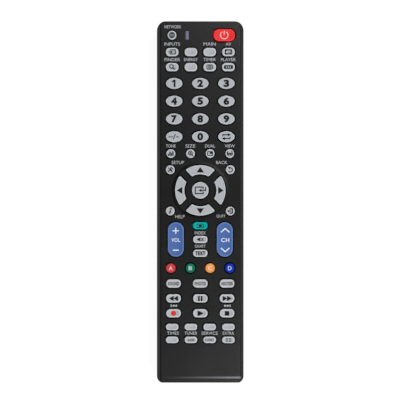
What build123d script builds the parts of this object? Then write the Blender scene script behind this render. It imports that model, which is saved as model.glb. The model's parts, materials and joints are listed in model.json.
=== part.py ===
from build123d import *
import os
from collections import namedtuple
from math import sqrt

# A bar-shaped infrared remote control, lying on its back. X runs across it, Y runs along it towards the end
# that sends the infrared light, and Z rises out of its face. The origin is the middle of its back.
# Sizes are in millimetres.

# Case
LENGTH = 199.5
WIDTH = 48.0
WALL = 2.0
END_CORNER = 5.0
FOOT_CORNER = 3.3
SIDE_BEVEL_WIDTH = 2.0
SIDE_BEVEL_DROP = 3.0
FOOT_BEVEL_WIDTH = 3.0
FOOT_BEVEL_DROP = 2.2
EDGE_ROUND = 0.8
BACK_SIDE_ROUND = 4.5
BACK_END_ROUND = 3.0
SPLIT_HEIGHT = 12.5

# Joint between the two halves of the case
FIT = 0.1
LIP_WIDTH = 0.8
LIP_HEIGHT = 1.2
SEAM_GROOVE = 0.3
HOOK_LENGTH = 6.0
HOOK_THICKNESS = 1.0
HOOK_BARB = 0.6
HOOK_BARB_HEIGHT = 1.2
HOOK_DEPTH = 3.0
HOOK_ROOT = 2.5
HOOK_SPACING = 66.0

# Battery cells, the cover over them and the bay that holds them
CELL_DIAMETER = 10.5
CELL_LENGTH = 44.5
CELL_NUB_DIAMETER = 3.8
CELL_NUB_LENGTH = 1.0
CELL_SHOULDER = 0.5
CELL_GAP = 0.3
CELL_SPACE = 0.8
COVER_RECESS = 0.2
COVER_THICKNESS = 1.4
COVER_INSET = 7.0
COVER_OVERLAP = 1.8
COVER_FIT = 0.15
TONGUE_WIDTH = 1.2
TONGUE_THICKNESS = 0.7
TAB_WIDTH = 5.0
TAB_LENGTH = 3.0
TAB_SPACING = 20.0
GRIP_WIDTH = 15.0
GRIP_GROOVE = 0.8
GRIP_DEPTH = 0.5
GRIP_PITCH = 1.7
GRIP_COUNT = 6
GRIP_SETBACK = 8.0
BAY_WALL = 1.2
BAY_SIDE_GAP = 0.5
BAY_SETBACK = 13.2
BAY_FLOOR = 1.5
SPRING_SPACE = 2.7
DIVIDER_WIDTH = 0.6
DIVIDER_DEPTH = 3.0

# Battery contacts
CONTACT_THICKNESS = 0.4
CONTACT_WIDTH = 8.6
CONTACT_HEIGHT = 8.4
CONTACT_TAIL = 2.0
SPRING_WIRE = 0.5
SPRING_PITCH = 0.8
SPRING_RADIUS = 3.4
SPRING_CONE = 18.0

# Board and keypad sheet
BOARD_CLEARANCE = 0.9
BOARD_THICKNESS = 1.2
BOARD_SIDE_GAP = 0.4
NOTCH_GAP = 0.3
BOARD_END_SETBACK = 4.2
BOARD_FOOT_SETBACK = 15.8
SHEET_THICKNESS = 0.8
POCKET_GAP = 0.3
BOARD_RIB = 1.2
BOARD_RIB_INSET = 8.0
PRESS_RIB = 0.8
PRESS_RIB_INSET = 2.6
PEG_RADIUS = 1.0
PEG_ROOM = 0.39
PEG_REACH = 0.6
PEG_FIT = 0.15

# Keys
KEY_TRAVEL = 1.0
KEY_LANDING = 0.4
KEY_GAP = 0.55
KEY_PROUD = 1.3
PAD_KEY_PROUD = 1.6
FLANGE_WIDTH = 0.8
FLANGE_THICKNESS = 0.8
FLANGE_GAP = 0.3
RIM_WIDTH = 0.6
RIM_DROP = 0.45
PILL_ROUNDING = 0.84

# Width and height of each kind of key cap
POWER_SIZE = (12.0, 6.9)
NUMBER_SIZE = (9.3, 6.3)
SHORT_PILL = (7.2, 4.8)
MEDIA_PILL = (8.25, 4.8)
SLIM_PILL = (7.15, 3.8)
CENTRE_PILL = (8.2, 4.2)
SMALL_ROUND = (5.1, 5.1)
LETTER_ROUND = (5.4, 5.4)

# Places of the keys across the face
POWER_X = 13.2
GLOBE_X = -15.6
NUMBER_PITCH = 14.4
SHORT_PITCH = 10.35
ROUND_PITCH = 10.85
MEDIA_PITCH = 14.75
SIDE_PITCH = 33.1

# Bare face left ahead of each row of keys, counted from the infrared end
TOP_SPACE = 4.3
SOURCE_SPACE = 3.45
SEARCH_SPACE = 3.5
NUMBER_SPACE = 3.45
NUMBER_ROW_SPACE = 3.5
PICTURE_SPACE = 3.6
PAD_SPACE = 3.7
ROCKER_SPACE = 3.5
CENTRE_ROW_SPACE = 3.4
LETTER_SPACE = 3.55
MEDIA_SPACE = 3.4
MEDIA_ROW_SPACE = 3.4
GUIDE_SPACE = 3.3
LOWER_SPACE = 3.3

# Ring of direction keys on its raised disc
DISC_RADIUS = 15.7
DISC_BEVEL = 0.9
DISC_HEIGHT = 0.5
ARC_OUTER = 14.05
ARC_INNER = 8.7
ARC_END = 2.05
ARC_CORNER = 0.8
ENTER_DIAMETER = 9.4
SIDE_KEY_OFFSET = 11.4

# Rockers
ROCKER_WIDTH = 8.9
ROCKER_LENGTH = 19.1
ROCKER_OFFSET = 13.5
ROCKER_PIN = 1.2
ROCKER_PIN_END = 1.3
ROCKER_PIN_DROP = 0.8
ROCKER_FOOT = 2.4
ROCKER_FOOT_SPACING = 12.0
ROCKER_FOOT_LENGTH = 0.8
CRADLE_WIDTH = 1.2
CRADLE_THICKNESS = 0.8
CRADLE_HEIGHT = 1.6
CRADLE_FIT = 0.15

# Infrared end
WINDOW_WIDTH = 18.0
WINDOW_HEIGHT = 7.0
WINDOW_CORNER = 1.0
WINDOW_FLANGE = 1.2
WINDOW_FLANGE_THICKNESS = 1.0
WINDOW_FIT = 0.1
LED_RADIUS = 2.5
LED_BODY = 5.5
LED_FLANGE_RADIUS = 2.9
LED_FLANGE_THICKNESS = 1.0
LED_WINDOW_GAP = 0.4
LED_LEAD = 0.5
LED_LEAD_PITCH = 2.54
LED_LEAD_RUN = 2.5

# Indicator
INDICATOR_X = -7.2
INDICATOR_WIDTH = 1.7
INDICATOR_LENGTH = 4.7
INDICATOR_CORNER = 0.5
INDICATOR_FLANGE = 0.8
INDICATOR_FIT = 0.1
INDICATOR_LED_SIZE = (1.2, 2.0, 0.8)
INDICATOR_LED_GAP = 0.4

# Parts under the board
CHIP_RADIUS = 6.0
CHIP_HEIGHT = 1.6
CHIP_DOWN = 74.0
RESONATOR_SIZE = (7.0, 3.0, 5.0)
RESONATOR_PLACE = (9.0, 55.0)
CAPACITOR_RADIUS = 3.15
CAPACITOR_LENGTH = 11.0
CAPACITOR_PLACE = (-8.0, 38.0)
LEAD_SIZE = 0.6
LEAD_SPACING = 2.5

# Screw under the battery cover
SCREW_SETBACK = 7.6
SCREW_SHANK = 2.5
SCREW_LENGTH = 8.0
SCREW_HEAD = 5.0
SCREW_HEAD_HEIGHT = 1.7
SCREW_SLOT = 0.8
SCREW_CLAMP = 3.0
SCREW_SINK = 3.4
WELL_WALL = 1.2
BOSS_RADIUS = 3.0
PILOT_FIT = 0.1
HEAD_FIT = 0.3

# Heights worked out from the back upwards
COVER_TOP = COVER_RECESS + COVER_THICKNESS
CELL_AXIS = COVER_TOP + CELL_GAP + CELL_DIAMETER / 2
ROOF_BOTTOM = CELL_AXIS + CELL_DIAMETER / 2 + CELL_GAP
ROOF_TOP = ROOF_BOTTOM + BAY_WALL
BOARD_BOTTOM = ROOF_TOP + BOARD_CLEARANCE
BOARD_TOP = BOARD_BOTTOM + BOARD_THICKNESS
SHEET_TOP = BOARD_TOP + SHEET_THICKNESS
FLANGE_BOTTOM = BOARD_TOP + KEY_LANDING + KEY_TRAVEL
FLANGE_TOP = FLANGE_BOTTOM + FLANGE_THICKNESS
FACE_BOTTOM = FLANGE_TOP + FLANGE_GAP
CASE_HEIGHT = FACE_BOTTOM + WALL
BAY_FLOOR_BOTTOM = COVER_TOP + COVER_FIT
BAY_FLOOR_TOP = BAY_FLOOR_BOTTOM + BAY_FLOOR

# Distances of the key rows from the infrared end, each worked out from the row before
NUMBER_ROW_PITCH = NUMBER_SIZE[1] + NUMBER_ROW_SPACE
CENTRE_ROW_PITCH = CENTRE_PILL[1] + CENTRE_ROW_SPACE
MEDIA_ROW_PITCH = MEDIA_PILL[1] + MEDIA_ROW_SPACE
TOP_DOWN = TOP_SPACE + POWER_SIZE[1] / 2
SOURCE_DOWN = TOP_DOWN + POWER_SIZE[1] / 2 + SOURCE_SPACE + SHORT_PILL[1] / 2
SEARCH_DOWN = SOURCE_DOWN + SHORT_PILL[1] + SEARCH_SPACE
NUMBER_DOWN = SEARCH_DOWN + SHORT_PILL[1] / 2 + NUMBER_SPACE + NUMBER_SIZE[1] / 2
PICTURE_DOWN = NUMBER_DOWN + 3 * NUMBER_ROW_PITCH + NUMBER_SIZE[1] / 2 + PICTURE_SPACE + SMALL_ROUND[1] / 2
PAD_DOWN = PICTURE_DOWN + SMALL_ROUND[1] / 2 + PAD_SPACE + ARC_OUTER
ROCKER_DOWN = PAD_DOWN + ARC_OUTER + ROCKER_SPACE + ROCKER_LENGTH / 2
LETTER_DOWN = ROCKER_DOWN + ROCKER_LENGTH / 2 + LETTER_SPACE + LETTER_ROUND[1] / 2
MEDIA_DOWN = LETTER_DOWN + LETTER_ROUND[1] / 2 + MEDIA_SPACE + MEDIA_PILL[1] / 2
GUIDE_DOWN = MEDIA_DOWN + 2 * MEDIA_ROW_PITCH + MEDIA_PILL[1] / 2 + GUIDE_SPACE + SLIM_PILL[1] / 2
LOWER_DOWN = GUIDE_DOWN + SLIM_PILL[1] + LOWER_SPACE

# Places worked out along and across the case
END = LENGTH / 2
FOOT = -LENGTH / 2
SIDE = WIDTH / 2
COVER_WIDTH = WIDTH - 2 * COVER_INSET
CELL_PITCH = CELL_DIAMETER + CELL_SPACE
BOARD_WIDTH = WIDTH - 2 * (WALL + BOARD_SIDE_GAP)
PRESS_RIB_LENGTH = BOARD_WIDTH - 2 * PRESS_RIB_INSET
PEG_SHOULDER = sqrt(((NUMBER_PITCH - NUMBER_SIZE[0]) / 2 - FLANGE_WIDTH) ** 2
                    + (NUMBER_ROW_SPACE / 2 - FLANGE_WIDTH) ** 2) - PEG_ROOM
BAY_FOOT = FOOT + BAY_SETBACK
BAY_LENGTH = CELL_LENGTH + SPRING_SPACE + 2 * CONTACT_THICKNESS
BAY_END = BAY_FOOT + BAY_LENGTH
COVER_EDGE = BAY_END + COVER_OVERLAP
BAY_SIDE = CELL_PITCH / 2 + CELL_DIAMETER / 2 + BAY_SIDE_GAP
BOARD_END = END - BOARD_END_SETBACK
BOARD_FOOT = FOOT + BOARD_FOOT_SETBACK
LED_AXIS = BOARD_BOTTOM - LED_FLANGE_RADIUS - FLANGE_GAP
SCREW_Y = FOOT + SCREW_SETBACK
WELL_TOP = SCREW_SINK + SCREW_HEAD_HEIGHT + SCREW_CLAMP
HOOK_PLACES = (-HOOK_SPACING, 0.0, HOOK_SPACING)
FAR = LENGTH + WIDTH


def down(distance):
    """The Y of a place given as its distance from the infrared end."""
    return END - distance


Key = namedtuple("Key", "node shape x y width height proud turn")


def row(names, distance, shape, size, pitch):
    """Keys of one size in a row, spaced evenly about the middle of the face."""
    first = -pitch * (len(names) - 1) / 2
    return [
        Key(name, shape, first + i * pitch, down(distance), *size, KEY_PROUD, 0.0)
        for i, name in enumerate(names)
    ]


def pad_keys():
    """The four arc keys, each turned a quarter from the last, and the enter key in their middle."""
    size = (2 * ARC_OUTER, 2 * ARC_OUTER)
    names = ("up_key", "left_key", "down_key", "right_key")
    arcs = [
        Key(name, "arc", 0.0, down(PAD_DOWN), *size, PAD_KEY_PROUD, 90.0 * i)
        for i, name in enumerate(names)
    ]
    enter_size = (ENTER_DIAMETER, ENTER_DIAMETER)
    return arcs + [Key("enter_key", "round", 0.0, down(PAD_DOWN), *enter_size, PAD_KEY_PROUD, 0.0)]


def keyboard():
    """All the keys, in rows from the infrared end to the foot."""
    rows = [[
        Key("power_key", "pill", POWER_X, down(TOP_DOWN), *POWER_SIZE, KEY_PROUD, 0.0),
        Key("globe_key", "round", GLOBE_X, down(TOP_DOWN), *SMALL_ROUND, KEY_PROUD, 0.0),
    ]]
    rows.append(row(["source_row_keys"] * 4, SOURCE_DOWN, "pill", SHORT_PILL, SHORT_PITCH))
    rows.append(row(["search_row_keys"] * 4, SEARCH_DOWN, "pill", SHORT_PILL, SHORT_PITCH))
    number_rows = (
        ("number_1_key", "number_2_key", "number_3_key"),
        ("number_4_key", "number_5_key", "number_6_key"),
        ("number_7_key", "number_8_key", "number_9_key"),
        ("dash_key", "number_0_key", "swap_key"),
    )
    for i, names in enumerate(number_rows):
        rows.append(row(names, NUMBER_DOWN + i * NUMBER_ROW_PITCH, "oval", NUMBER_SIZE, NUMBER_PITCH))
    rows.append(row(["picture_row_keys"] * 4, PICTURE_DOWN, "round", SMALL_ROUND, ROUND_PITCH))
    rows.append(
        row(["tools_return_keys"] * 2, PAD_DOWN - SIDE_KEY_OFFSET, "round", SMALL_ROUND, SIDE_PITCH)
        + pad_keys()
        + row(["info_key", "exit_key"], PAD_DOWN + SIDE_KEY_OFFSET, "round", SMALL_ROUND, SIDE_PITCH))
    centre_keys = [
        row([name], ROCKER_DOWN + i * CENTRE_ROW_PITCH, "pill", CENTRE_PILL, 0.0)[0]
        for i, name in zip((-1, 0, 1), ("menu_key", "mute_key", "list_key"))
    ]
    rows.append(ROCKERS + centre_keys)
    rows.append(row(["red_key", "green_key", "orange_key", "blue_key"], LETTER_DOWN, "round",
                    LETTER_ROUND, ROUND_PITCH))
    media_rows = (
        ("media_row_keys", "media_row_keys", "media_row_keys"),
        ("rewind_key", "pause_key", "forward_key"),
        ("record_key", "play_key", "stop_key"),
    )
    for i, names in enumerate(media_rows):
        rows.append(row(names, MEDIA_DOWN + i * MEDIA_ROW_PITCH, "pill", MEDIA_PILL, MEDIA_PITCH))
    rows.append(row(["guide_row_keys"] * 4, GUIDE_DOWN, "pill", SLIM_PILL, SHORT_PITCH))
    rows.append(row(["lower_row_keys"] * 4, LOWER_DOWN, "pill", SLIM_PILL, SHORT_PITCH))
    return rows


ROCKERS = row(("volume_rocker", "channel_rocker"), ROCKER_DOWN, "rocker",
              (ROCKER_WIDTH, ROCKER_LENGTH), 2 * ROCKER_OFFSET)
KEY_ROWS = keyboard()
KEYS = [key for keys in KEY_ROWS for key in keys]
PEGS = ((NUMBER_PITCH / 2, down(NUMBER_DOWN + NUMBER_ROW_PITCH / 2)),
        (-MEDIA_PITCH / 2, down(MEDIA_DOWN + MEDIA_ROW_PITCH / 2)))


def block(x0, x1, y0, y1, z0, z1):
    """A box between two corners."""
    return Pos(x0, y0, z0) * Box(x1 - x0, y1 - y0, z1 - z0, align=(Align.MIN, Align.MIN, Align.MIN))


def post(x, y, radius, z0, z1):
    """An upright cylinder."""
    return Pos(x, y, z0) * Cylinder(radius, z1 - z0, align=(Align.CENTER, Align.CENTER, Align.MIN))


def slab(sketch, z0, z1):
    """A sketch drawn on the XY plane, made solid between two heights."""
    return Pos(0, 0, z0) * extrude(sketch, amount=z1 - z0)


def plan(inset=0.0):
    """The case seen from above, drawn in by inset all round."""
    sketch = Rectangle(WIDTH - 2 * inset, LENGTH - 2 * inset)
    sketch = fillet(sketch.vertices().group_by(Axis.Y)[-1], END_CORNER - inset)
    return fillet(sketch.vertices().group_by(Axis.Y)[0], FOOT_CORNER - inset)


def upper_form(inset=0.0):
    """The upper half as a block: sloped along both sides and at the foot, and drawn in by inset."""
    side_profile = Polygon(
        (-SIDE, -FAR), (SIDE, -FAR), (SIDE, CASE_HEIGHT - SIDE_BEVEL_DROP),
        (SIDE - SIDE_BEVEL_WIDTH, CASE_HEIGHT), (SIDE_BEVEL_WIDTH - SIDE, CASE_HEIGHT),
        (-SIDE, CASE_HEIGHT - SIDE_BEVEL_DROP), align=None)
    side_profile = fillet(side_profile.vertices().filter_by_position(Axis.Y, 0, FAR), EDGE_ROUND)
    end_profile = Polygon(
        (FOOT, -FAR), (END, -FAR), (END, CASE_HEIGHT), (FOOT + FOOT_BEVEL_WIDTH, CASE_HEIGHT),
        (FOOT, CASE_HEIGHT - FOOT_BEVEL_DROP), align=None)
    end_profile = fillet(end_profile.vertices().filter_by_position(Axis.Y, 0, FAR), EDGE_ROUND)
    if inset:
        side_profile = offset(side_profile, -inset, kind=Kind.INTERSECTION)
        end_profile = offset(end_profile, -inset, kind=Kind.INTERSECTION)
    form = slab(plan(inset), SPLIT_HEIGHT, CASE_HEIGHT)
    form &= extrude(Plane.XZ * side_profile, FAR, both=True)
    return form & extrude(Plane.YZ * end_profile, FAR, both=True)


def lower_form(inset=0.0):
    """The lower half as a block, rounded along the back, and drawn in by inset."""
    side_profile = Pos(0, FAR / 2) * Rectangle(WIDTH, FAR)
    side_profile = fillet(side_profile.vertices().group_by(Axis.Y)[0], BACK_SIDE_ROUND)
    end_profile = Pos(0, FAR / 2) * Rectangle(LENGTH, FAR)
    end_profile = fillet(end_profile.vertices().group_by(Axis.Y)[0], BACK_END_ROUND)
    if inset:
        side_profile = offset(side_profile, -inset, kind=Kind.INTERSECTION)
        end_profile = offset(end_profile, -inset, kind=Kind.INTERSECTION)
    form = slab(plan(inset), 0, SPLIT_HEIGHT)
    form &= extrude(Plane.XZ * side_profile, FAR, both=True)
    return form & extrude(Plane.YZ * end_profile, FAR, both=True)


def outline(key, grow=0.0):
    """A key's outline about its own middle, grown all round."""
    width = key.width + 2 * grow
    height = key.height + 2 * grow
    if key.shape == "oval":
        return Ellipse(width / 2, height / 2)
    if key.shape == "round":
        return Circle(width / 2)
    if key.shape == "rocker":
        return SlotOverall(height, width, rotation=90)
    if key.shape == "pill":
        return RectangleRounded(width, height, PILL_ROUNDING * key.height / 2 + grow)
    ring = Circle(ARC_OUTER + grow) - Circle(ARC_INNER - grow)
    tip = (ARC_END - grow) * sqrt(2)
    wedge = Polygon((0, tip), (FAR, tip + FAR), (-FAR, tip + FAR), align=None)
    sector = ring & wedge
    return fillet(sector.vertices(), ARC_CORNER + grow)


def flange_outline(key, grow=0.0):
    """The flange is square-cornered, except that an arc key's follows the arc."""
    reach = FLANGE_WIDTH + grow
    if key.shape == "arc":
        return outline(key, reach)
    return Rectangle(key.width + 2 * reach, key.height + 2 * reach)


def at(key, solid):
    """Moves a solid from the middle of the face to the key's place."""
    return Pos(key.x, key.y, 0) * Rot(0, 0, key.turn) * solid


def cap(key, bottom):
    """The part of a key that a finger touches, with a sloped rim round its flat top."""
    body = slab(outline(key), bottom, CASE_HEIGHT + key.proud)
    top = body.faces().sort_by(Axis.Z)[-1]
    return chamfer(top.edges(), length=RIM_WIDTH, length2=RIM_DROP, reference=top)


def push_key(key):
    """A key that presses straight in: its cap, and the flange that keeps it under the face."""
    return at(key, cap(key, FLANGE_BOTTOM) + slab(flange_outline(key), FLANGE_BOTTOM, FLANGE_TOP))


def rocker(key):
    """A key that tilts on a pin across its middle, with a contact foot near each end."""
    pin_axis = FACE_BOTTOM - ROCKER_PIN_DROP
    pin_length = key.width + 2 * ROCKER_PIN_END
    pin = Pos(0, 0, pin_axis) * Rot(0, 90, 0) * Cylinder(ROCKER_PIN / 2, pin_length)
    body = cap(key, FLANGE_BOTTOM) + pin
    for side in (-1, 1):
        y = side * ROCKER_FOOT_SPACING / 2
        half = ROCKER_FOOT / 2
        body += block(-half, half, y - half, y + half, FLANGE_BOTTOM - ROCKER_FOOT_LENGTH, FLANGE_BOTTOM)
    return at(key, body)


def cradle(key):
    """The four ears under the face that hold a rocker's pin in its place along the case."""
    ears = []
    for side_x in (-1, 1):
        for side_y in (-1, 1):
            x = side_x * (key.width / 2 + KEY_GAP + CRADLE_WIDTH / 2)
            y = side_y * (ROCKER_PIN / 2 + CRADLE_FIT + CRADLE_THICKNESS / 2)
            ear = Box(CRADLE_WIDTH, CRADLE_THICKNESS, CRADLE_HEIGHT)
            ears.append(at(key, Pos(x, y, FACE_BOTTOM - CRADLE_HEIGHT / 2) * ear))
    return ears


def press_ribs():
    """Ribs under the face, one in each space between rows of keys, that hold the keypad sheet down."""
    spans = []
    for keys in KEY_ROWS:
        top = max(k.y + k.height / 2 for k in keys) + FLANGE_WIDTH
        foot = min(k.y - k.height / 2 for k in keys) - FLANGE_WIDTH
        spans.append((top, foot))
    half = PRESS_RIB_LENGTH / 2
    ribs = []
    for above, below in zip(spans, spans[1:]):
        y = (above[1] + below[0]) / 2
        ribs.append(block(-half, half, y - PRESS_RIB / 2, y + PRESS_RIB / 2, SHEET_TOP, FACE_BOTTOM))
    return ribs


def hooks():
    """Snap hooks that hang from the upper case inside the lower one, each with a barb at its tip."""
    made = []
    inner = SIDE - WALL
    for y in HOOK_PLACES:
        for side in (-1, 1):
            arm_outer = inner - FIT
            arm_inner = arm_outer - HOOK_THICKNESS
            tip = SPLIT_HEIGHT - HOOK_DEPTH
            profile = Polygon(
                (arm_inner, tip), (arm_outer, tip), (arm_outer + HOOK_BARB, tip + HOOK_BARB_HEIGHT),
                (arm_outer, tip + HOOK_BARB_HEIGHT), (arm_outer, SPLIT_HEIGHT + LIP_HEIGHT + 2 * FIT),
                (inner + FIT, SPLIT_HEIGHT + LIP_HEIGHT + 2 * FIT),
                (inner + FIT, SPLIT_HEIGHT + LIP_HEIGHT + HOOK_ROOT),
                (arm_inner, SPLIT_HEIGHT + LIP_HEIGHT + HOOK_ROOT), align=None)
            arm = extrude(Plane.XZ * profile, HOOK_LENGTH / 2, both=True)
            if side < 0:
                arm = mirror(arm, Plane.YZ)
            made.append(Pos(0, y, 0) * arm)
    return made


def hook_pockets():
    """The pockets in the lower case's side walls that the barbs catch in."""
    tip = SPLIT_HEIGHT - HOOK_DEPTH
    half = HOOK_LENGTH / 2 + 2 * FIT
    pockets = []
    for y in HOOK_PLACES:
        for side in (-1, 1):
            middle = side * (SIDE - WALL)
            depth = HOOK_BARB + FIT
            pockets.append(block(middle - depth, middle + depth, y - half, y + half,
                                 tip - 2 * FIT, tip + HOOK_BARB_HEIGHT + 2 * FIT))
    return pockets


def window_opening():
    """The hole for the infrared window, cut half in each part of the case."""
    sketch = RectangleRounded(WINDOW_WIDTH + 2 * WINDOW_FIT, WINDOW_HEIGHT + 2 * WINDOW_FIT,
                              WINDOW_CORNER + WINDOW_FIT)
    return Pos(0, END, LED_AXIS) * extrude(Plane.XZ * sketch, WALL * 2, both=True)


def upper_case():
    """The front half: face, key openings, raised disc, ribs, rocker cradles, hooks and screw boss."""
    case = upper_form() - (upper_form(WALL) & slab(plan(WALL), SPLIT_HEIGHT, FACE_BOTTOM))
    rebate = slab(plan(WALL - LIP_WIDTH - FIT), SPLIT_HEIGHT, SPLIT_HEIGHT + LIP_HEIGHT + FIT)
    case -= rebate
    disc = Pos(0, down(PAD_DOWN), CASE_HEIGHT) * Cone(
        DISC_RADIUS, DISC_RADIUS - DISC_BEVEL, DISC_HEIGHT, align=(Align.CENTER, Align.CENTER, Align.MIN))
    boss = post(0, SCREW_Y, BOSS_RADIUS, WELL_TOP + FIT, FACE_BOTTOM + FIT)
    shoulders = [post(x, y, PEG_SHOULDER, SHEET_TOP, FACE_BOTTOM + FIT) for x, y in PEGS]
    pins = [post(x, y, PEG_RADIUS, BOARD_BOTTOM - PEG_REACH, SHEET_TOP) for x, y in PEGS]
    ears = [ear for key in ROCKERS for ear in cradle(key)]
    case += [disc, boss] + shoulders + pins + ears + press_ribs() + hooks()
    holes = [at(key, slab(outline(key, KEY_GAP), FACE_BOTTOM - FIT, CASE_HEIGHT + DISC_HEIGHT + FIT))
             for key in KEYS]
    lens_hole = Pos(INDICATOR_X, down(TOP_DOWN), 0) * slab(
        RectangleRounded(INDICATOR_WIDTH + 2 * INDICATOR_FIT, INDICATOR_LENGTH + 2 * INDICATOR_FIT,
                         INDICATOR_CORNER), FACE_BOTTOM - FIT, CASE_HEIGHT + FIT)
    pilot = post(0, SCREW_Y, SCREW_SHANK / 2 + PILOT_FIT, SCREW_SINK, FACE_BOTTOM - FIT)
    return case - (holes + [lens_hole, pilot, window_opening()])


def lower_case():
    """The back half: shell, lip, battery bay with its roof, screw well, board ribs and cover grooves.
    A narrow groove along its upper edge hides any mismatch with the front half."""
    case = lower_form() - lower_form(WALL)
    seam = slab(plan() - plan(SEAM_GROOVE), SPLIT_HEIGHT - SEAM_GROOVE, SPLIT_HEIGHT)
    lip = slab(plan(WALL - LIP_WIDTH) - plan(WALL), SPLIT_HEIGHT, SPLIT_HEIGHT + LIP_HEIGHT)
    floor = block(-SIDE + WALL, SIDE - WALL, FOOT + WALL, COVER_EDGE + TAB_LENGTH + BAY_WALL,
                  WALL / 2, BAY_FLOOR_TOP)
    bay = block(-BAY_SIDE - BAY_WALL, BAY_SIDE + BAY_WALL, BAY_FOOT - BAY_WALL, BAY_END + BAY_WALL,
                WALL / 2, ROOF_TOP)
    well_radius = SCREW_HEAD / 2 + HEAD_FIT + WELL_WALL
    well = post(0, SCREW_Y, well_radius, WALL / 2, WELL_TOP)
    rib_x = SIDE - BOARD_RIB_INSET
    board_ribs = [block(side * rib_x - BOARD_RIB / 2, side * rib_x + BOARD_RIB / 2,
                        BAY_END + BAY_WALL, BOARD_END - BOARD_RIB_INSET, WALL / 2, BOARD_BOTTOM)
                  for side in (-1, 1)]
    bay_pads = [block(side * BAY_SIDE - BOARD_RIB, side * BAY_SIDE, BAY_FOOT, BAY_END, ROOF_BOTTOM,
                      BOARD_BOTTOM) for side in (-1, 1)]
    case += [floor & lower_form(), lip, bay, well] + board_ribs + bay_pads
    cover_half = COVER_WIDTH / 2 + COVER_FIT
    recess = block(-cover_half, cover_half, FOOT - FIT, COVER_EDGE + COVER_FIT, -FIT, BAY_FLOOR_BOTTOM)
    groove_bottom = COVER_TOP - TONGUE_THICKNESS - COVER_FIT
    groove_half = cover_half + TONGUE_WIDTH
    grooves = block(-groove_half, groove_half, FOOT - FIT, COVER_EDGE + COVER_FIT, groove_bottom,
                    BAY_FLOOR_BOTTOM)
    tab_pockets = [block(side * TAB_SPACING / 2 - TAB_WIDTH / 2 - COVER_FIT,
                         side * TAB_SPACING / 2 + TAB_WIDTH / 2 + COVER_FIT,
                         COVER_EDGE, COVER_EDGE + TAB_LENGTH + COVER_FIT, groove_bottom, BAY_FLOOR_BOTTOM)
                   for side in (-1, 1)]
    bay_space = block(-BAY_SIDE, BAY_SIDE, BAY_FOOT, BAY_END, -FIT, ROOF_BOTTOM)
    head_space = post(0, SCREW_Y, SCREW_HEAD / 2 + HEAD_FIT, -FIT, SCREW_SINK + SCREW_HEAD_HEIGHT)
    shank_space = post(0, SCREW_Y, SCREW_SHANK / 2 + HEAD_FIT, -FIT, WELL_TOP + FIT)
    case -= [seam, recess, grooves, bay_space, head_space, shank_space, window_opening()]
    case -= tab_pockets + hook_pockets() + tail_slots()
    divider = block(-DIVIDER_WIDTH / 2, DIVIDER_WIDTH / 2, BAY_FOOT + CELL_PITCH, BAY_END - CELL_PITCH,
                    ROOF_BOTTOM - DIVIDER_DEPTH, ROOF_BOTTOM)
    return case + divider


def battery_cover():
    """The sliding cover: a plate that follows the case's outline, side tongues, end tabs and a grip."""
    half = COVER_WIDTH / 2
    tongue_bottom = COVER_TOP - TONGUE_THICKNESS
    plate = block(-half, half, FOOT, COVER_EDGE, COVER_RECESS, COVER_TOP)
    tongues = block(-half - TONGUE_WIDTH, half + TONGUE_WIDTH, FOOT, COVER_EDGE, tongue_bottom, COVER_TOP)
    cover = (plate + tongues) & lower_form()
    cover += [block(side * TAB_SPACING / 2 - TAB_WIDTH / 2, side * TAB_SPACING / 2 + TAB_WIDTH / 2,
                    COVER_EDGE, COVER_EDGE + TAB_LENGTH, tongue_bottom, COVER_TOP) for side in (-1, 1)]
    first = COVER_EDGE - GRIP_SETBACK
    grooves = [block(-GRIP_WIDTH / 2, GRIP_WIDTH / 2, first - i * GRIP_PITCH - GRIP_GROOVE,
                     first - i * GRIP_PITCH, 0, COVER_RECESS + GRIP_DEPTH) for i in range(GRIP_COUNT)]
    return cover - grooves


def notched_board(z0, z1):
    """A plate as wide as the case has room for, notched round the snap hooks."""
    plate = block(-BOARD_WIDTH / 2, BOARD_WIDTH / 2, BOARD_FOOT, BOARD_END, z0, z1)
    inner = SIDE - WALL - FIT - HOOK_THICKNESS - NOTCH_GAP
    half = HOOK_LENGTH / 2 + NOTCH_GAP
    return plate - [block(min(side * inner, side * SIDE), max(side * inner, side * SIDE),
                          y - half, y + half, z0 - FIT, z1 + FIT)
                    for y in HOOK_PLACES for side in (-1, 1)]


def keypad_sheet():
    """The silicone sheet over the board, with a pocket round every key, the pegs and the indicator LED."""
    sheet = notched_board(BOARD_TOP, SHEET_TOP)
    pockets = []
    for key in KEYS:
        hole = outline(key, POCKET_GAP) if key.shape == "rocker" else flange_outline(key, POCKET_GAP)
        pockets.append(at(key, slab(hole, BOARD_TOP - FIT, SHEET_TOP + FIT)))
    pockets += [post(x, y, PEG_RADIUS + PEG_FIT, BOARD_TOP - FIT, SHEET_TOP + FIT) for x, y in PEGS]
    led_x, led_y, _ = INDICATOR_LED_SIZE
    pockets.append(Pos(INDICATOR_X, down(TOP_DOWN), SHEET_TOP) * Box(
        led_x + 2 * POCKET_GAP, led_y + 2 * POCKET_GAP, 2 * SHEET_THICKNESS + FIT))
    return sheet - pockets


def circuit_board():
    """The single board that every key presses on."""
    board = notched_board(BOARD_BOTTOM, BOARD_TOP)
    return board - [post(x, y, PEG_RADIUS + PEG_FIT, BOARD_BOTTOM - FIT, BOARD_TOP + FIT) for x, y in PEGS]


def controller_chip():
    """The controller under a low dome of epoxy on the board's underside."""
    radius = (CHIP_RADIUS ** 2 + CHIP_HEIGHT ** 2) / (2 * CHIP_HEIGHT)
    ball = Pos(0, down(CHIP_DOWN), BOARD_BOTTOM - CHIP_HEIGHT + radius) * Sphere(radius)
    return ball & post(0, down(CHIP_DOWN), radius, BOARD_BOTTOM - CHIP_HEIGHT, BOARD_BOTTOM)


def leads(x, y, z0):
    """Two wire leads that reach the board's underside."""
    half = LEAD_SIZE / 2
    return [block(x + side * LEAD_SPACING - half, x + side * LEAD_SPACING + half, y - half, y + half,
                  z0, BOARD_BOTTOM) for side in (-0.5, 0.5)]


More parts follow.
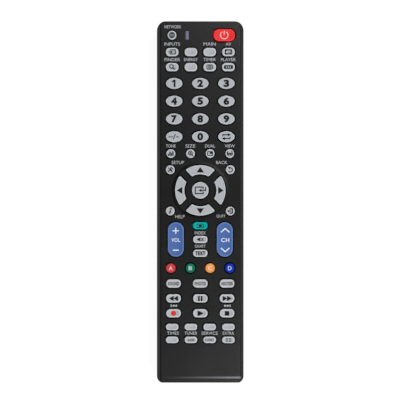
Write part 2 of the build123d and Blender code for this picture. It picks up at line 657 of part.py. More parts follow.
def resonator():
    """The ceramic resonator, a small upright block on two leads."""
    x, distance = RESONATOR_PLACE
    width, depth, height = RESONATOR_SIZE
    top = BOARD_BOTTOM - CELL_GAP
    body = Pos(x, down(distance), top - height / 2) * Box(width, depth, height)
    body = fillet(body.edges().filter_by(Axis.Z), depth / 3)
    return body + leads(x, down(distance), top - LEAD_SIZE)


def capacitor():
    """The electrolytic capacitor lying along the case, its leads bent up into the board."""
    x, distance = CAPACITOR_PLACE
    axis = BOARD_BOTTOM - CAPACITOR_RADIUS - CELL_GAP
    can = Pos(x, down(distance), axis) * Rot(90, 0, 0) * Cylinder(CAPACITOR_RADIUS, CAPACITOR_LENGTH)
    lead_y = down(distance) - CAPACITOR_LENGTH / 2
    wires = [block(x + side * LEAD_SPACING - LEAD_SIZE / 2, x + side * LEAD_SPACING + LEAD_SIZE / 2,
                   lead_y - 2 * LEAD_SIZE, lead_y, axis - LEAD_SIZE / 2, axis + LEAD_SIZE / 2)
             for side in (-0.5, 0.5)]
    return can + wires + leads(x, lead_y - 1.5 * LEAD_SIZE, axis - LEAD_SIZE / 2)


def ir_window():
    """The dark window in the end face, held from behind by a flange."""
    sketch = Plane.XZ * RectangleRounded(WINDOW_WIDTH, WINDOW_HEIGHT, WINDOW_CORNER)
    pane = Pos(0, END, LED_AXIS) * extrude(sketch, WALL + FIT + WINDOW_FLANGE_THICKNESS)
    back = END - WALL - FIT
    flange = block(-WINDOW_WIDTH / 2 - WINDOW_FLANGE, WINDOW_WIDTH / 2 + WINDOW_FLANGE,
                   back - WINDOW_FLANGE_THICKNESS, back, LED_AXIS - WINDOW_HEIGHT / 2 - WINDOW_FLANGE,
                   LED_AXIS + WINDOW_HEIGHT / 2 + WINDOW_FLANGE)
    return pane + flange


def ir_led():
    """The infrared LED under the end of the board, domed towards the window, with two bent leads."""
    tip = END - WALL - FIT - WINDOW_FLANGE_THICKNESS - LED_WINDOW_GAP
    dome = tip - LED_RADIUS
    base = dome - LED_BODY
    rear = base - LED_FLANGE_THICKNESS
    half_profile = make_face(
        Polyline((0, tip), (0, rear), (LED_FLANGE_RADIUS, rear), (LED_FLANGE_RADIUS, base),
                 (LED_RADIUS, base), (LED_RADIUS, dome))
        + ThreePointArc((LED_RADIUS, dome), (LED_RADIUS / sqrt(2), dome + LED_RADIUS / sqrt(2)), (0, tip)))
    led = Pos(0, 0, LED_AXIS) * revolve(half_profile, Axis.Y)
    half = LED_LEAD / 2
    for side in (-0.5, 0.5):
        x = side * LED_LEAD_PITCH
        led += [block(x - half, x + half, rear - LED_LEAD_RUN, rear, LED_AXIS - half, LED_AXIS + half),
                block(x - half, x + half, rear - LED_LEAD_RUN, rear - LED_LEAD_RUN + LED_LEAD,
                      LED_AXIS - half, BOARD_BOTTOM)]
    return led


def indicator_led():
    """The small indicator LED on top of the board."""
    length_x, length_y, height = INDICATOR_LED_SIZE
    return Pos(INDICATOR_X, down(TOP_DOWN), BOARD_TOP + height / 2) * Box(length_x, length_y, height)


def indicator_lens():
    """The slit lens in the face, flush with it, with a flange below that keeps it in."""
    bottom = BOARD_TOP + INDICATOR_LED_SIZE[2] + INDICATOR_LED_GAP
    pane = slab(RectangleRounded(INDICATOR_WIDTH, INDICATOR_LENGTH, INDICATOR_CORNER - INDICATOR_FIT),
                bottom, CASE_HEIGHT)
    flange = slab(Rectangle(INDICATOR_WIDTH + 2 * INDICATOR_FLANGE, INDICATOR_LENGTH + 2 * INDICATOR_FLANGE),
                  FLANGE_BOTTOM, FACE_BOTTOM - FIT)
    return Pos(INDICATOR_X, down(TOP_DOWN), 0) * (pane + flange)


def contact_plate(x0, x1, y, facing):
    """A flat contact against an end wall of the bay; facing is 1 towards the infrared end."""
    inner = y + facing * CONTACT_THICKNESS
    low, high = min(y, inner), max(y, inner)
    return block(x0, x1, low, high, CELL_AXIS - CONTACT_HEIGHT / 2, CELL_AXIS + CONTACT_HEIGHT / 2)


def contact_tail(x, y, facing):
    """The strip that joins a contact to the board through a slot in the bay's roof."""
    inner = y + facing * CONTACT_THICKNESS
    low, high = min(y, inner), max(y, inner)
    return block(x - CONTACT_TAIL / 2, x + CONTACT_TAIL / 2, low, high, CELL_AXIS, BOARD_BOTTOM)


def tail_slots():
    """The slots in the bay's roof that the contact tails pass."""
    half = CONTACT_TAIL / 2 + FIT
    slots = []
    for x in (-CELL_PITCH / 2, CELL_PITCH / 2):
        slots.append(block(x - half, x + half, BAY_END - CONTACT_THICKNESS - FIT, BAY_END,
                           ROOF_BOTTOM - FIT, ROOF_TOP + FIT))
    return slots


def coil(x, y, facing):
    """A conical coil of contact wire, widest at its plate, that presses on a cell's flat end."""
    height = SPRING_SPACE - CELL_GAP - SPRING_WIRE
    path = Helix(SPRING_PITCH, height, SPRING_RADIUS, cone_angle=-SPRING_CONE)
    wire = (path ^ 0) * Rectangle(SPRING_WIRE, SPRING_WIRE)
    spring = sweep(wire, path=path, is_frenet=True)
    return Pos(x, y + facing * (CONTACT_THICKNESS + SPRING_WIRE / 2 - FIT), CELL_AXIS) * Rot(
        -90 * facing, 0, 0) * spring


def plate_contact():
    """The contact that the first cell's nub touches."""
    x = -CELL_PITCH / 2
    plate = contact_plate(x - CONTACT_WIDTH / 2, x + CONTACT_WIDTH / 2, BAY_END, -1)
    return plate + contact_tail(x, BAY_END, -1)


def spring_contact():
    """The contact that presses on the second cell's flat end."""
    x = CELL_PITCH / 2
    plate = contact_plate(x - CONTACT_WIDTH / 2, x + CONTACT_WIDTH / 2, BAY_END, -1)
    return plate + contact_tail(x, BAY_END, -1) + coil(x, BAY_END, -1)


def double_contact():
    """The contact at the foot of the bay that joins the two cells."""
    x = CELL_PITCH / 2 + CONTACT_WIDTH / 2
    return contact_plate(-x, x, BAY_FOOT, 1) + coil(-CELL_PITCH / 2, BAY_FOOT, 1)


def cell():
    """One AAA cell along Y about the origin, its nub towards the infrared end."""
    can_length = CELL_LENGTH - CELL_NUB_LENGTH
    can = Cylinder(CELL_DIAMETER / 2, can_length, align=(Align.CENTER, Align.CENTER, Align.MIN))
    can = chamfer(can.edges().filter_by(GeomType.CIRCLE), CELL_SHOULDER)
    nub = Pos(0, 0, can_length) * Cylinder(
        CELL_NUB_DIAMETER / 2, CELL_NUB_LENGTH, align=(Align.CENTER, Align.CENTER, Align.MIN))
    return Pos(0, -CELL_LENGTH / 2, 0) * Rot(-90, 0, 0) * (can + nub)


def battery_cells():
    """The two cells, nub to nub apart, each a little off the plate that its nub faces."""
    nub_gap = CONTACT_THICKNESS + CELL_GAP
    first = Pos(-CELL_PITCH / 2, BAY_END - nub_gap - CELL_LENGTH / 2, CELL_AXIS) * cell()
    second = Pos(CELL_PITCH / 2, BAY_FOOT + nub_gap + CELL_LENGTH / 2, CELL_AXIS) * Rot(0, 0, 180) * cell()
    return [first, second]


def case_screw():
    """The screw that holds the two halves together under the battery cover."""
    head_top = SCREW_SINK + SCREW_HEAD_HEIGHT
    head = post(0, SCREW_Y, SCREW_HEAD / 2, SCREW_SINK, head_top)
    shank = post(0, SCREW_Y, SCREW_SHANK / 2, head_top, head_top + SCREW_LENGTH)
    slot = Pos(0, SCREW_Y, SCREW_SINK) * (
        Box(SCREW_SHANK, SCREW_SLOT, 2 * SCREW_SLOT) + Box(SCREW_SLOT, SCREW_SHANK, 2 * SCREW_SLOT))
    return head + shank - slot


def main():
    os.makedirs("parts", exist_ok=True)
    nodes = {
        "upper_case": [upper_case()],
        "lower_case": [lower_case()],
        "battery_cover": [battery_cover()],
        "keypad_sheet": [keypad_sheet()],
        "circuit_board": [circuit_board()],
        "controller_chip": [controller_chip()],
        "resonator": [resonator()],
        "capacitor": [capacitor()],
        "ir_window": [ir_window()],
        "ir_led": [ir_led()],
        "indicator_led": [indicator_led()],
        "indicator_lens": [indicator_lens()],
        "plate_contact": [plate_contact()],
        "spring_contact": [spring_contact()],
        "double_contact": [double_contact()],
        "battery_cells": battery_cells(),
        "case_screw": [case_screw()],
    }
    for key in KEYS:
        solid = rocker(key) if key.shape == "rocker" else push_key(key)
        nodes.setdefault(key.node, []).append(solid)
    for name, solids in nodes.items():
        shape = solids[0] if len(solids) == 1 else Compound(children=solids)
        export_step(shape, f"parts/{name}.step")


main()
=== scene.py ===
"""Keys, prints, cells, contacts, finishes and stage of a bar-shaped remote control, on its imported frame."""

import bmesh
import bpy
import json
from bpy.props import FloatProperty, FloatVectorProperty, PointerProperty
from bpy.types import Operator, Panel, PropertyGroup
from collections import namedtuple
from math import asin, atan2, cos, pi, radians, sin
from mathutils import Matrix, Vector

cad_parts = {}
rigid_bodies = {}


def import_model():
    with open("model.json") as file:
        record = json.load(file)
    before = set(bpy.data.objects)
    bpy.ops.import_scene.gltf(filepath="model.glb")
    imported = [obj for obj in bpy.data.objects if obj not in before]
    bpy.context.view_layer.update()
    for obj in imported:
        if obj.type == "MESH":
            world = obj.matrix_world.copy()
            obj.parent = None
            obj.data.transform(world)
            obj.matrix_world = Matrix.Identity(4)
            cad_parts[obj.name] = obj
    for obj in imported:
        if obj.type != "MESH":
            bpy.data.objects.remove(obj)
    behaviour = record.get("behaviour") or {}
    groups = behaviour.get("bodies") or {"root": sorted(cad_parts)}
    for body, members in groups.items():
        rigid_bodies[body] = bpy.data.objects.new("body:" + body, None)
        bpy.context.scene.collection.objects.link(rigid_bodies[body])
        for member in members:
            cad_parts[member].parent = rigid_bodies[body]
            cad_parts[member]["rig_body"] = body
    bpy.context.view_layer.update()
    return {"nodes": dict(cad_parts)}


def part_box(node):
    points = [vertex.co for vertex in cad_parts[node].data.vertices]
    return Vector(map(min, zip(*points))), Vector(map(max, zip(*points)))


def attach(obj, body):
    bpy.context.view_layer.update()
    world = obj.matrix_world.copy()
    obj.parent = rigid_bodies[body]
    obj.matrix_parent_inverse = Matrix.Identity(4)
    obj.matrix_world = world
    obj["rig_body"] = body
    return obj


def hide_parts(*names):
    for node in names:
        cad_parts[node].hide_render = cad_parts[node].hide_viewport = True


bl_info = {
    "name": "TV Remote Control",
    "version": (1, 0, 0),
    "blender": (4, 5, 0),
    "location": "3D View > Sidebar > Remote",
    "description": "Makes the keys, prints, cells, contacts, finishes and stage of a remote control",
    "category": "Object",
}

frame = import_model()

MM = 0.001
# How close points must lie to be merged
MERGE = 1e-6
FINE_MERGE = 1e-7
# How far below a cap's top a point of its flat may lie
FLAT_TOLERANCE = 1e-5
# Edges that turn by more than this many degrees are sharp
SHARP = 40.0
FINE_SHARP = 30.0


def length(name, description, millimetres):
    """A size that a user can change, from its default in millimetres."""
    return FloatProperty(name=name, description=description, default=millimetres * MM, unit="LENGTH",
                         subtype="DISTANCE", precision=5)


def number(name, description, default, **limits):
    """A plain number that a user can change."""
    return FloatProperty(name=name, description=description, default=default, **limits)


def colour(name, description, default):
    """A linear colour that a user can change."""
    return FloatVectorProperty(name=name, description=description, default=default, size=3, min=0.0, max=1.0,
                               subtype="COLOR")


class KeySizes(PropertyGroup):
    """Sizes of the keys that their boxes in the frame don't give."""
    flange_width: length("Flange width", "How far a flange reaches past its cap", 0.8)
    flange_thickness: length("Flange thickness", "Thickness of a key's flange", 0.8)
    cad_rim: length("Frame rim", "Width of the sloped rim of a cap in the frame", 0.6)
    field_step: length("Field step", "How deep the grained field lies below the rim", 0.06)
    oval_rim: length("Number key rim", "Width of the smooth rim of a number key", 0.45)
    pill_rim: length("Pill key rim", "Width of the smooth rim of a pill key", 0.8)
    round_rim: length("Round key rim", "Width of the smooth rim of a round key", 0.55)
    rocker_rim: length("Rocker rim", "Width of the smooth rim of a rocker", 0.75)
    arc_rim: length("Direction key rim", "Width of the smooth rim of a direction key", 0.5)
    play: length("Play", "How much smaller a cap is than in the frame, all round", 0.1)
    rim_drop: length("Rim drop", "How far a rim falls from its key's top to its wall", 0.4)
    pill_rounding: number("Pill rounding", "Corner radius of a pill against half its height", 0.92,
                          min=0.1, max=1.0, subtype="FACTOR")
    arc_outer: length("Arc outer radius", "Outer radius of the direction keys", 14.05)
    arc_inner: length("Arc inner radius", "Inner radius of the direction keys", 8.7)
    arc_end: length("Arc end", "Distance of a direction key's ends from the diagonals", 2.05)
    arc_corner: length("Arc corner", "Corner radius of a direction key", 0.8)
    pin_radius: length("Pin radius", "Radius of a rocker's pin", 0.6)
    pin_drop: length("Pin drop", "Distance of a rocker's pin below its top", 4.1)
    foot_size: length("Foot size", "Side of a rocker's square contact foot", 2.4)
    foot_length: length("Foot length", "How far a rocker's feet reach below it", 0.8)
    foot_offset: length("Foot offset", "Distance of a rocker's feet from its middle", 6.0)


class PrintSizes(PropertyGroup):
    """Sizes of the printed marks."""
    height: length("Ink height", "How far the ink stands out of a surface", 0.03)
    depth: length("Ink depth", "How far the ink reaches into a surface", 0.02)
    label_cap: length("Label height", "Height of the capitals on the face", 1.75)
    digit_height: length("Digit height", "Height of the digits on the number keys", 4.1)
    digit_width: length("Digit width", "Width of the digits on the number keys", 3.15)
    letter_height: length("Letter height", "Height of the letters on the coloured keys", 2.3)


class CellSizes(PropertyGroup):
    """Sizes of the two cells."""
    diameter: length("Cell diameter", "Diameter of a cell", 10.5)
    length: length("Cell length", "Length of a cell with its nub", 44.5)
    nub_diameter: length("Nub diameter", "Diameter of a cell's nub", 3.8)
    nub_length: length("Nub length", "Length of a cell's nub", 1.0)
    band_length: length("Band length", "Length of the coloured band at the nub end", 9.0)


class ContactSizes(PropertyGroup):
    """Sizes of the contacts that press on the cells."""
    thickness: length("Strip thickness", "Thickness of the contact strip", 0.4)
    width: length("Plate width", "Width of the plate behind one cell", 8.6)
    height: length("Plate height", "Height of a plate", 8.4)
    corner: length("Plate corner", "Corner radius of a plate", 0.8)
    tail: length("Tail width", "Width of the strip that reaches the board", 2.0)
    wire: length("Wire diameter", "Diameter of the coil's wire", 0.5)
    radius: length("Coil radius", "Radius of the coil at its plate", 3.4)
    rise: length("Coil rise", "How far the wire's middle travels from the plate", 1.9)
    narrowing: length("Coil narrowing", "How much smaller the coil's radius is at its tip", 1.9)
    turns: number("Turns", "Turns of a coil", 2.5, min=1.0)


class Colours(PropertyGroup):
    """Colours of the plastics, the rubbers and the inks."""
    case_black: colour("Case", "Textured plastic of the case", (0.0042, 0.0043, 0.0045))
    key_grey: colour("Grey keys", "Most of the keys", (0.5, 0.52, 0.548))
    key_power_red: colour("Power key", "The power key", (0.98, 0.048, 0.048))
    key_teal: colour("Teal key", "The menu key", (0.0, 0.43, 0.412))
    key_sky_blue: colour("Rockers", "The volume and channel rockers", (0.078, 0.172, 0.468))
    key_red: colour("Red key", "The first letter key", (0.67, 0.06, 0.072))
    key_green: colour("Green key", "The second letter key", (0.0, 0.19, 0.105))
    key_orange: colour("Orange key", "The third letter key", (0.98, 0.385, 0.097))
    key_blue: colour("Blue key", "The fourth letter key", (0.002, 0.037, 0.5))
    ink_white: colour("White ink", "Marks on the coloured keys", (0.9, 0.9, 0.92))
    ink_silver: colour("Silver ink", "Words on the face", (0.48, 0.49, 0.51))
    ink_black: colour("Black ink", "Marks on the grey keys", (0.004, 0.004, 0.005))
    ink_red: colour("Red ink", "The dot on the record key", (0.75, 0.03, 0.03))


class StageSizes(PropertyGroup):
    """The camera and the lamps."""
    lens: number("Lens", "Focal length of the camera", 135.0, unit="CAMERA")
    view_width: length("View width", "What the picture spans at the height of the face", 220.85)
    foot_power: number("Foot lamp", "Power of the lamp beyond the foot", 3.2, unit="POWER")
    head_power: number("Head lamp", "Power of the lamp beyond the infrared end", 3.1, unit="POWER")
    world_light: number("Surrounding light", "Strength of the even light all round", 0.08, min=0.0)
    floor_glow: number("Floor glow", "Part of the floor's white that isn't lit", 0.955, min=0.0, max=1.0)


Cap = namedtuple("Cap", "middle width height")


def cap_tops(node):
    """The flat tops of a node's caps in the frame, from left to right."""
    rim = bpy.context.scene.key_sizes.cad_rim
    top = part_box(node)[1].z
    mesh = bmesh.new()
    mesh.from_mesh(frame["nodes"][node].data)
    bmesh.ops.remove_doubles(mesh, verts=mesh.verts, dist=MERGE)
    waiting = {face for face in mesh.faces if min(v.co.z for v in face.verts) > top - FLAT_TOLERANCE}
    caps = []
    while waiting:
        island = [waiting.pop()]
        for face in island:
            near = {other for edge in face.edges for other in edge.link_faces} & waiting
            waiting -= near
            island.extend(near)
        places = [v.co for face in island for v in face.verts]
        low = Vector([min(p[i] for p in places) for i in range(3)])
        high = Vector([max(p[i] for p in places) for i in range(3)])
        caps.append(Cap((low + high) / 2, high.x - low.x + 2 * rim, high.y - low.y + 2 * rim))
    mesh.free()
    return sorted(caps, key=lambda cap: cap.middle.x)


def pad_middle():
    """The middle of the ring of direction keys."""
    low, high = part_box("enter_key")
    return Vector(((low.x + high.x) / 2, (low.y + high.y) / 2, 0.0))


def slot_of(node):
    """The record's material slot of a node."""
    return frame["nodes"][node].data.materials[0].name


def body_of(node):
    """The body that carries a node."""
    return frame["nodes"][node]["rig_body"]


def add_piece(name, mesh, body, materials, sharp=SHARP):
    """Makes a closed mesh an object that moves with a body."""
    bmesh.ops.recalc_face_normals(mesh, faces=mesh.faces)
    data = bpy.data.meshes.new(name)
    mesh.to_mesh(data)
    mesh.free()
    data.shade_smooth()
    data.set_sharp_from_angle(angle=radians(sharp))
    for material in materials:
        data.materials.append(material)
    piece = bpy.data.objects.new(name, data)
    bpy.context.scene.collection.objects.link(piece)
    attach(piece, body)
    return piece


# Outlines of the keys, drawn flat about the origin

ORIGIN = (0.0, 0.0, 0.0)
OVAL_SEGMENTS = 72
PILL_SEGMENTS = 64
ROCKER_SEGMENTS = 96
OUTER_ARC_STEPS = 40
INNER_ARC_STEPS = 28
ARC_CORNER_STEPS = 6


def spin(mesh, geom, angle, steps, centre=ORIGIN, axis=(0.0, 0.0, 1.0), rise=0.0, merge=False):
    """Spins geometry about an axis through a centre; each step may also rise along the axis."""
    return bmesh.ops.spin(mesh, geom=geom, cent=centre, axis=axis, dvec=Vector(axis) * rise, angle=angle,
                          steps=steps, use_merge=merge, use_duplicate=False)


def box_outline(mesh, width, height, corner, segments):
    """A rounded box: a circle whose four quarters are moved apart."""
    start = Matrix.Rotation(pi / segments, 4, "Z")
    made = bmesh.ops.create_circle(mesh, cap_ends=True, segments=segments,
                                   radius=corner / cos(pi / segments), matrix=start)
    for v in made["verts"]:
        v.co.x += (width / 2 - corner) * (1 if v.co.x > 0 else -1)
        v.co.y += (height / 2 - corner) * (1 if v.co.y > 0 else -1)
    return made["verts"][0].link_faces[0]


def oval_outline(mesh, cap, grow):
    """The ellipse of a number key, or the circle of a round key."""
    size = Matrix.Diagonal((cap.width + 2 * grow, cap.height + 2 * grow, 1.0, 1.0))
    made = bmesh.ops.create_circle(mesh, cap_ends=True, segments=OVAL_SEGMENTS, radius=0.5, matrix=size)
    return made["verts"][0].link_faces[0]


def pill_outline(mesh, cap, grow):
    """The rounded box of a pill key."""
    corner = bpy.context.scene.key_sizes.pill_rounding * cap.height / 2 + grow
    return box_outline(mesh, cap.width + 2 * grow, cap.height + 2 * grow, corner, PILL_SEGMENTS)


def swing(mesh, vert, centre, angle, steps):
    """Draws an arc from a vertex about a centre, and returns the arc's last vertex."""
    made = spin(mesh, [vert], angle, steps, centre)
    return [item for item in made["geom_last"] if isinstance(item, bmesh.types.BMVert)][0]


def arc_outline(mesh, grow):
    """The outline of the upper direction key about the middle of the ring: six arcs and two lines."""
    sizes = bpy.context.scene.key_sizes
    outer = sizes.arc_outer + grow
    inner = sizes.arc_inner - grow
    corner = sizes.arc_corner + grow
    end = sizes.arc_end - grow
    outer_tilt = asin((end + corner) / (outer - corner))
    inner_tilt = asin((end + corner) / (inner + corner))
    outer_right = pi / 4 + outer_tilt
    outer_left = 3 * pi / 4 - outer_tilt
    inner_right = pi / 4 + inner_tilt
    inner_left = 3 * pi / 4 - inner_tilt
    turn_out = pi / 2 + outer_tilt
    turn_in = pi / 2 - inner_tilt

    def spot(radius, angle):
        return Vector((radius * cos(angle), radius * sin(angle), 0.0))

    def line_to(last, centre, side):
        start = mesh.verts.new(centre + Vector((side, -corner, 0.0)).normalized() * corner)
        mesh.edges.new((last, start))
        return start

    first = mesh.verts.new(spot(outer, outer_right))
    last = swing(mesh, first, ORIGIN, outer_left - outer_right, OUTER_ARC_STEPS)
    last = swing(mesh, last, spot(outer - corner, outer_left), turn_out, ARC_CORNER_STEPS)
    centre = spot(inner + corner, inner_left)
    last = swing(mesh, line_to(last, centre, -corner), centre, turn_in, ARC_CORNER_STEPS)
    last = swing(mesh, last, ORIGIN, inner_right - inner_left, INNER_ARC_STEPS)
    last = swing(mesh, last, spot(inner + corner, inner_right), turn_in, ARC_CORNER_STEPS)
    centre = spot(outer - corner, outer_right)
    last = swing(mesh, line_to(last, centre, corner), centre, turn_out, ARC_CORNER_STEPS)
    bmesh.ops.remove_doubles(mesh, verts=[first, last], dist=MERGE)
    loop = [edge for edge in mesh.edges if not edge.link_faces]
    face = bmesh.ops.edgeloop_fill(mesh, edges=loop)["faces"][0]
    face.normal_update()
    if face.normal.z < 0:
        face.normal_flip()
    return face


# Key caps

# Parts of a rim's width: the rounded edge, the flat, and the fall to the grained field
ROUNDED_PART = 0.72
FLAT_PART = 0.18
FALL_PART = 0.10
ROUND_STEPS = 6
PIN_SEGMENTS = 24
# How far a rocker's pins and feet reach into it
PIN_SINK = 1.0 * MM
FOOT_SINK = 0.3 * MM
CAP_RUBBER, FLANGE_RUBBER = range(2)


def lift(mesh, face, height):
    """Draws a face up and returns the raised face."""
    made = bmesh.ops.extrude_face_region(mesh, geom=[face])
    raised = [item for item in made["geom"] if isinstance(item, bmesh.types.BMFace)][0]
    bmesh.ops.translate(mesh, verts=raised.verts, vec=(0.0, 0.0, height))
    return raised


def step_in(mesh, face, thickness, height):
    """Draws a face in all round, and up or down with it."""
    bmesh.ops.inset_individual(mesh, faces=[face], thickness=thickness, depth=height, use_even_offset=True)


def round_over(mesh, face, width, drop):
    """Rounds a wall over into the top in quarter-ellipse steps."""
    for i in range(ROUND_STEPS):
        now = i * pi / 2 / ROUND_STEPS
        after = (i + 1) * pi / 2 / ROUND_STEPS
        step_in(mesh, face, width * (cos(now) - cos(after)), drop * (sin(after) - sin(now)))


def cap_mesh():
    """An empty mesh, and the layer that marks which of its vertices belong to a grained field."""
    mesh = bmesh.new()
    return mesh, mesh.verts.layers.float.new("field")


def raise_cap(mesh, face, field, middle, bottom, top, rim, turn=0.0, flange=True):
    """Raises one key from its outline: flange, wall, rounded rim, and the grained field below it."""
    sizes = bpy.context.scene.key_sizes
    place = Matrix.Translation((middle.x, middle.y, bottom)) @ Matrix.Rotation(turn, 4, "Z")
    bmesh.ops.transform(mesh, matrix=place, verts=face.verts)
    rise = top - bottom
    if flange:
        known = set(mesh.faces)
        below = [face]
        face = lift(mesh, face, sizes.flange_thickness)
        step_in(mesh, face, sizes.flange_width + sizes.play, 0.0)
        for part in [part for part in mesh.faces if part not in known] + below:
            part.material_index = FLANGE_RUBBER
        face.material_index = CAP_RUBBER
        rise -= sizes.flange_thickness
    face = lift(mesh, face, rise - sizes.rim_drop)
    round_over(mesh, face, rim * ROUNDED_PART, sizes.rim_drop)
    step_in(mesh, face, rim * FLAT_PART, 0.0)
    step_in(mesh, face, rim * FALL_PART, -sizes.field_step)
    for v in face.verts:
        v[field] = 1.0


def cap_piece(node, mesh):
    """Puts a finished key, row of keys or rocker in the place of its node."""
    piece = add_piece(node + "_cap", mesh, body_of(node), key_finishes(node))
    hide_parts(node)


def key_piece(node, outline, rim):
    """Makes all the keys of a node as one piece."""
    low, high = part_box(node)
    mesh, field = cap_mesh()
    for cap in cap_tops(node):
        face = outline(mesh, cap, bpy.context.scene.key_sizes.flange_width)
        raise_cap(mesh, face, field, cap.middle, low.z, high.z, rim)
    cap_piece(node, mesh)


def rocker_piece(node):
    """Makes a rocker, round at both ends: its cap, the two ends of its pin, and its two contact feet."""
    sizes = bpy.context.scene.key_sizes
    low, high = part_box(node)
    mesh, field = cap_mesh()
    cap = cap_tops(node)[0]
    face = box_outline(mesh, cap.width, cap.height, cap.width / 2, ROCKER_SEGMENTS)
    bottom = low.z + sizes.foot_length
    raise_cap(mesh, face, field, cap.middle, bottom, high.z, sizes.rocker_rim, flange=False)
    reach = (high.x - low.x - cap.width) / 2 + PIN_SINK
    tall = sizes.foot_length + FOOT_SINK
    for side in (-1, 1):
        x = cap.middle.x + side * ((high.x - low.x) / 2 - reach / 2)
        place = (Matrix.Translation((x, cap.middle.y, high.z - sizes.pin_drop))
                 @ Matrix.Rotation(pi / 2, 4, "Y"))
        bmesh.ops.create_cone(mesh, cap_ends=True, segments=PIN_SEGMENTS, radius1=sizes.pin_radius,
                              radius2=sizes.pin_radius, depth=reach, matrix=place)
        y = cap.middle.y + side * sizes.foot_offset
        place = (Matrix.Translation((cap.middle.x, y, low.z + tall / 2))
                 @ Matrix.Diagonal((sizes.foot_size, sizes.foot_size, tall, 1.0)))
        bmesh.ops.create_cube(mesh, size=1.0, matrix=place)
    cap_piece(node, mesh)


def direction_piece(node, turn):
    """Makes one of the four arc-shaped keys of the ring."""
    sizes = bpy.context.scene.key_sizes
    low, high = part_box(node)
    mesh, field = cap_mesh()
    face = arc_outline(mesh, sizes.flange_width)
    raise_cap(mesh, face, field, pad_middle(), low.z, high.z, sizes.arc_rim, turn=turn)
    cap_piece(node, mesh)


# Printed marks

# In millimetres: how far each mark lies above the last, so that no two tops share a plane
STROKE_STEP = 0.0008
DOT_SEGMENTS = 28
RING_STEPS = 32
FRAME_SEGMENTS = 24
LETTER_RESOLUTION = 4


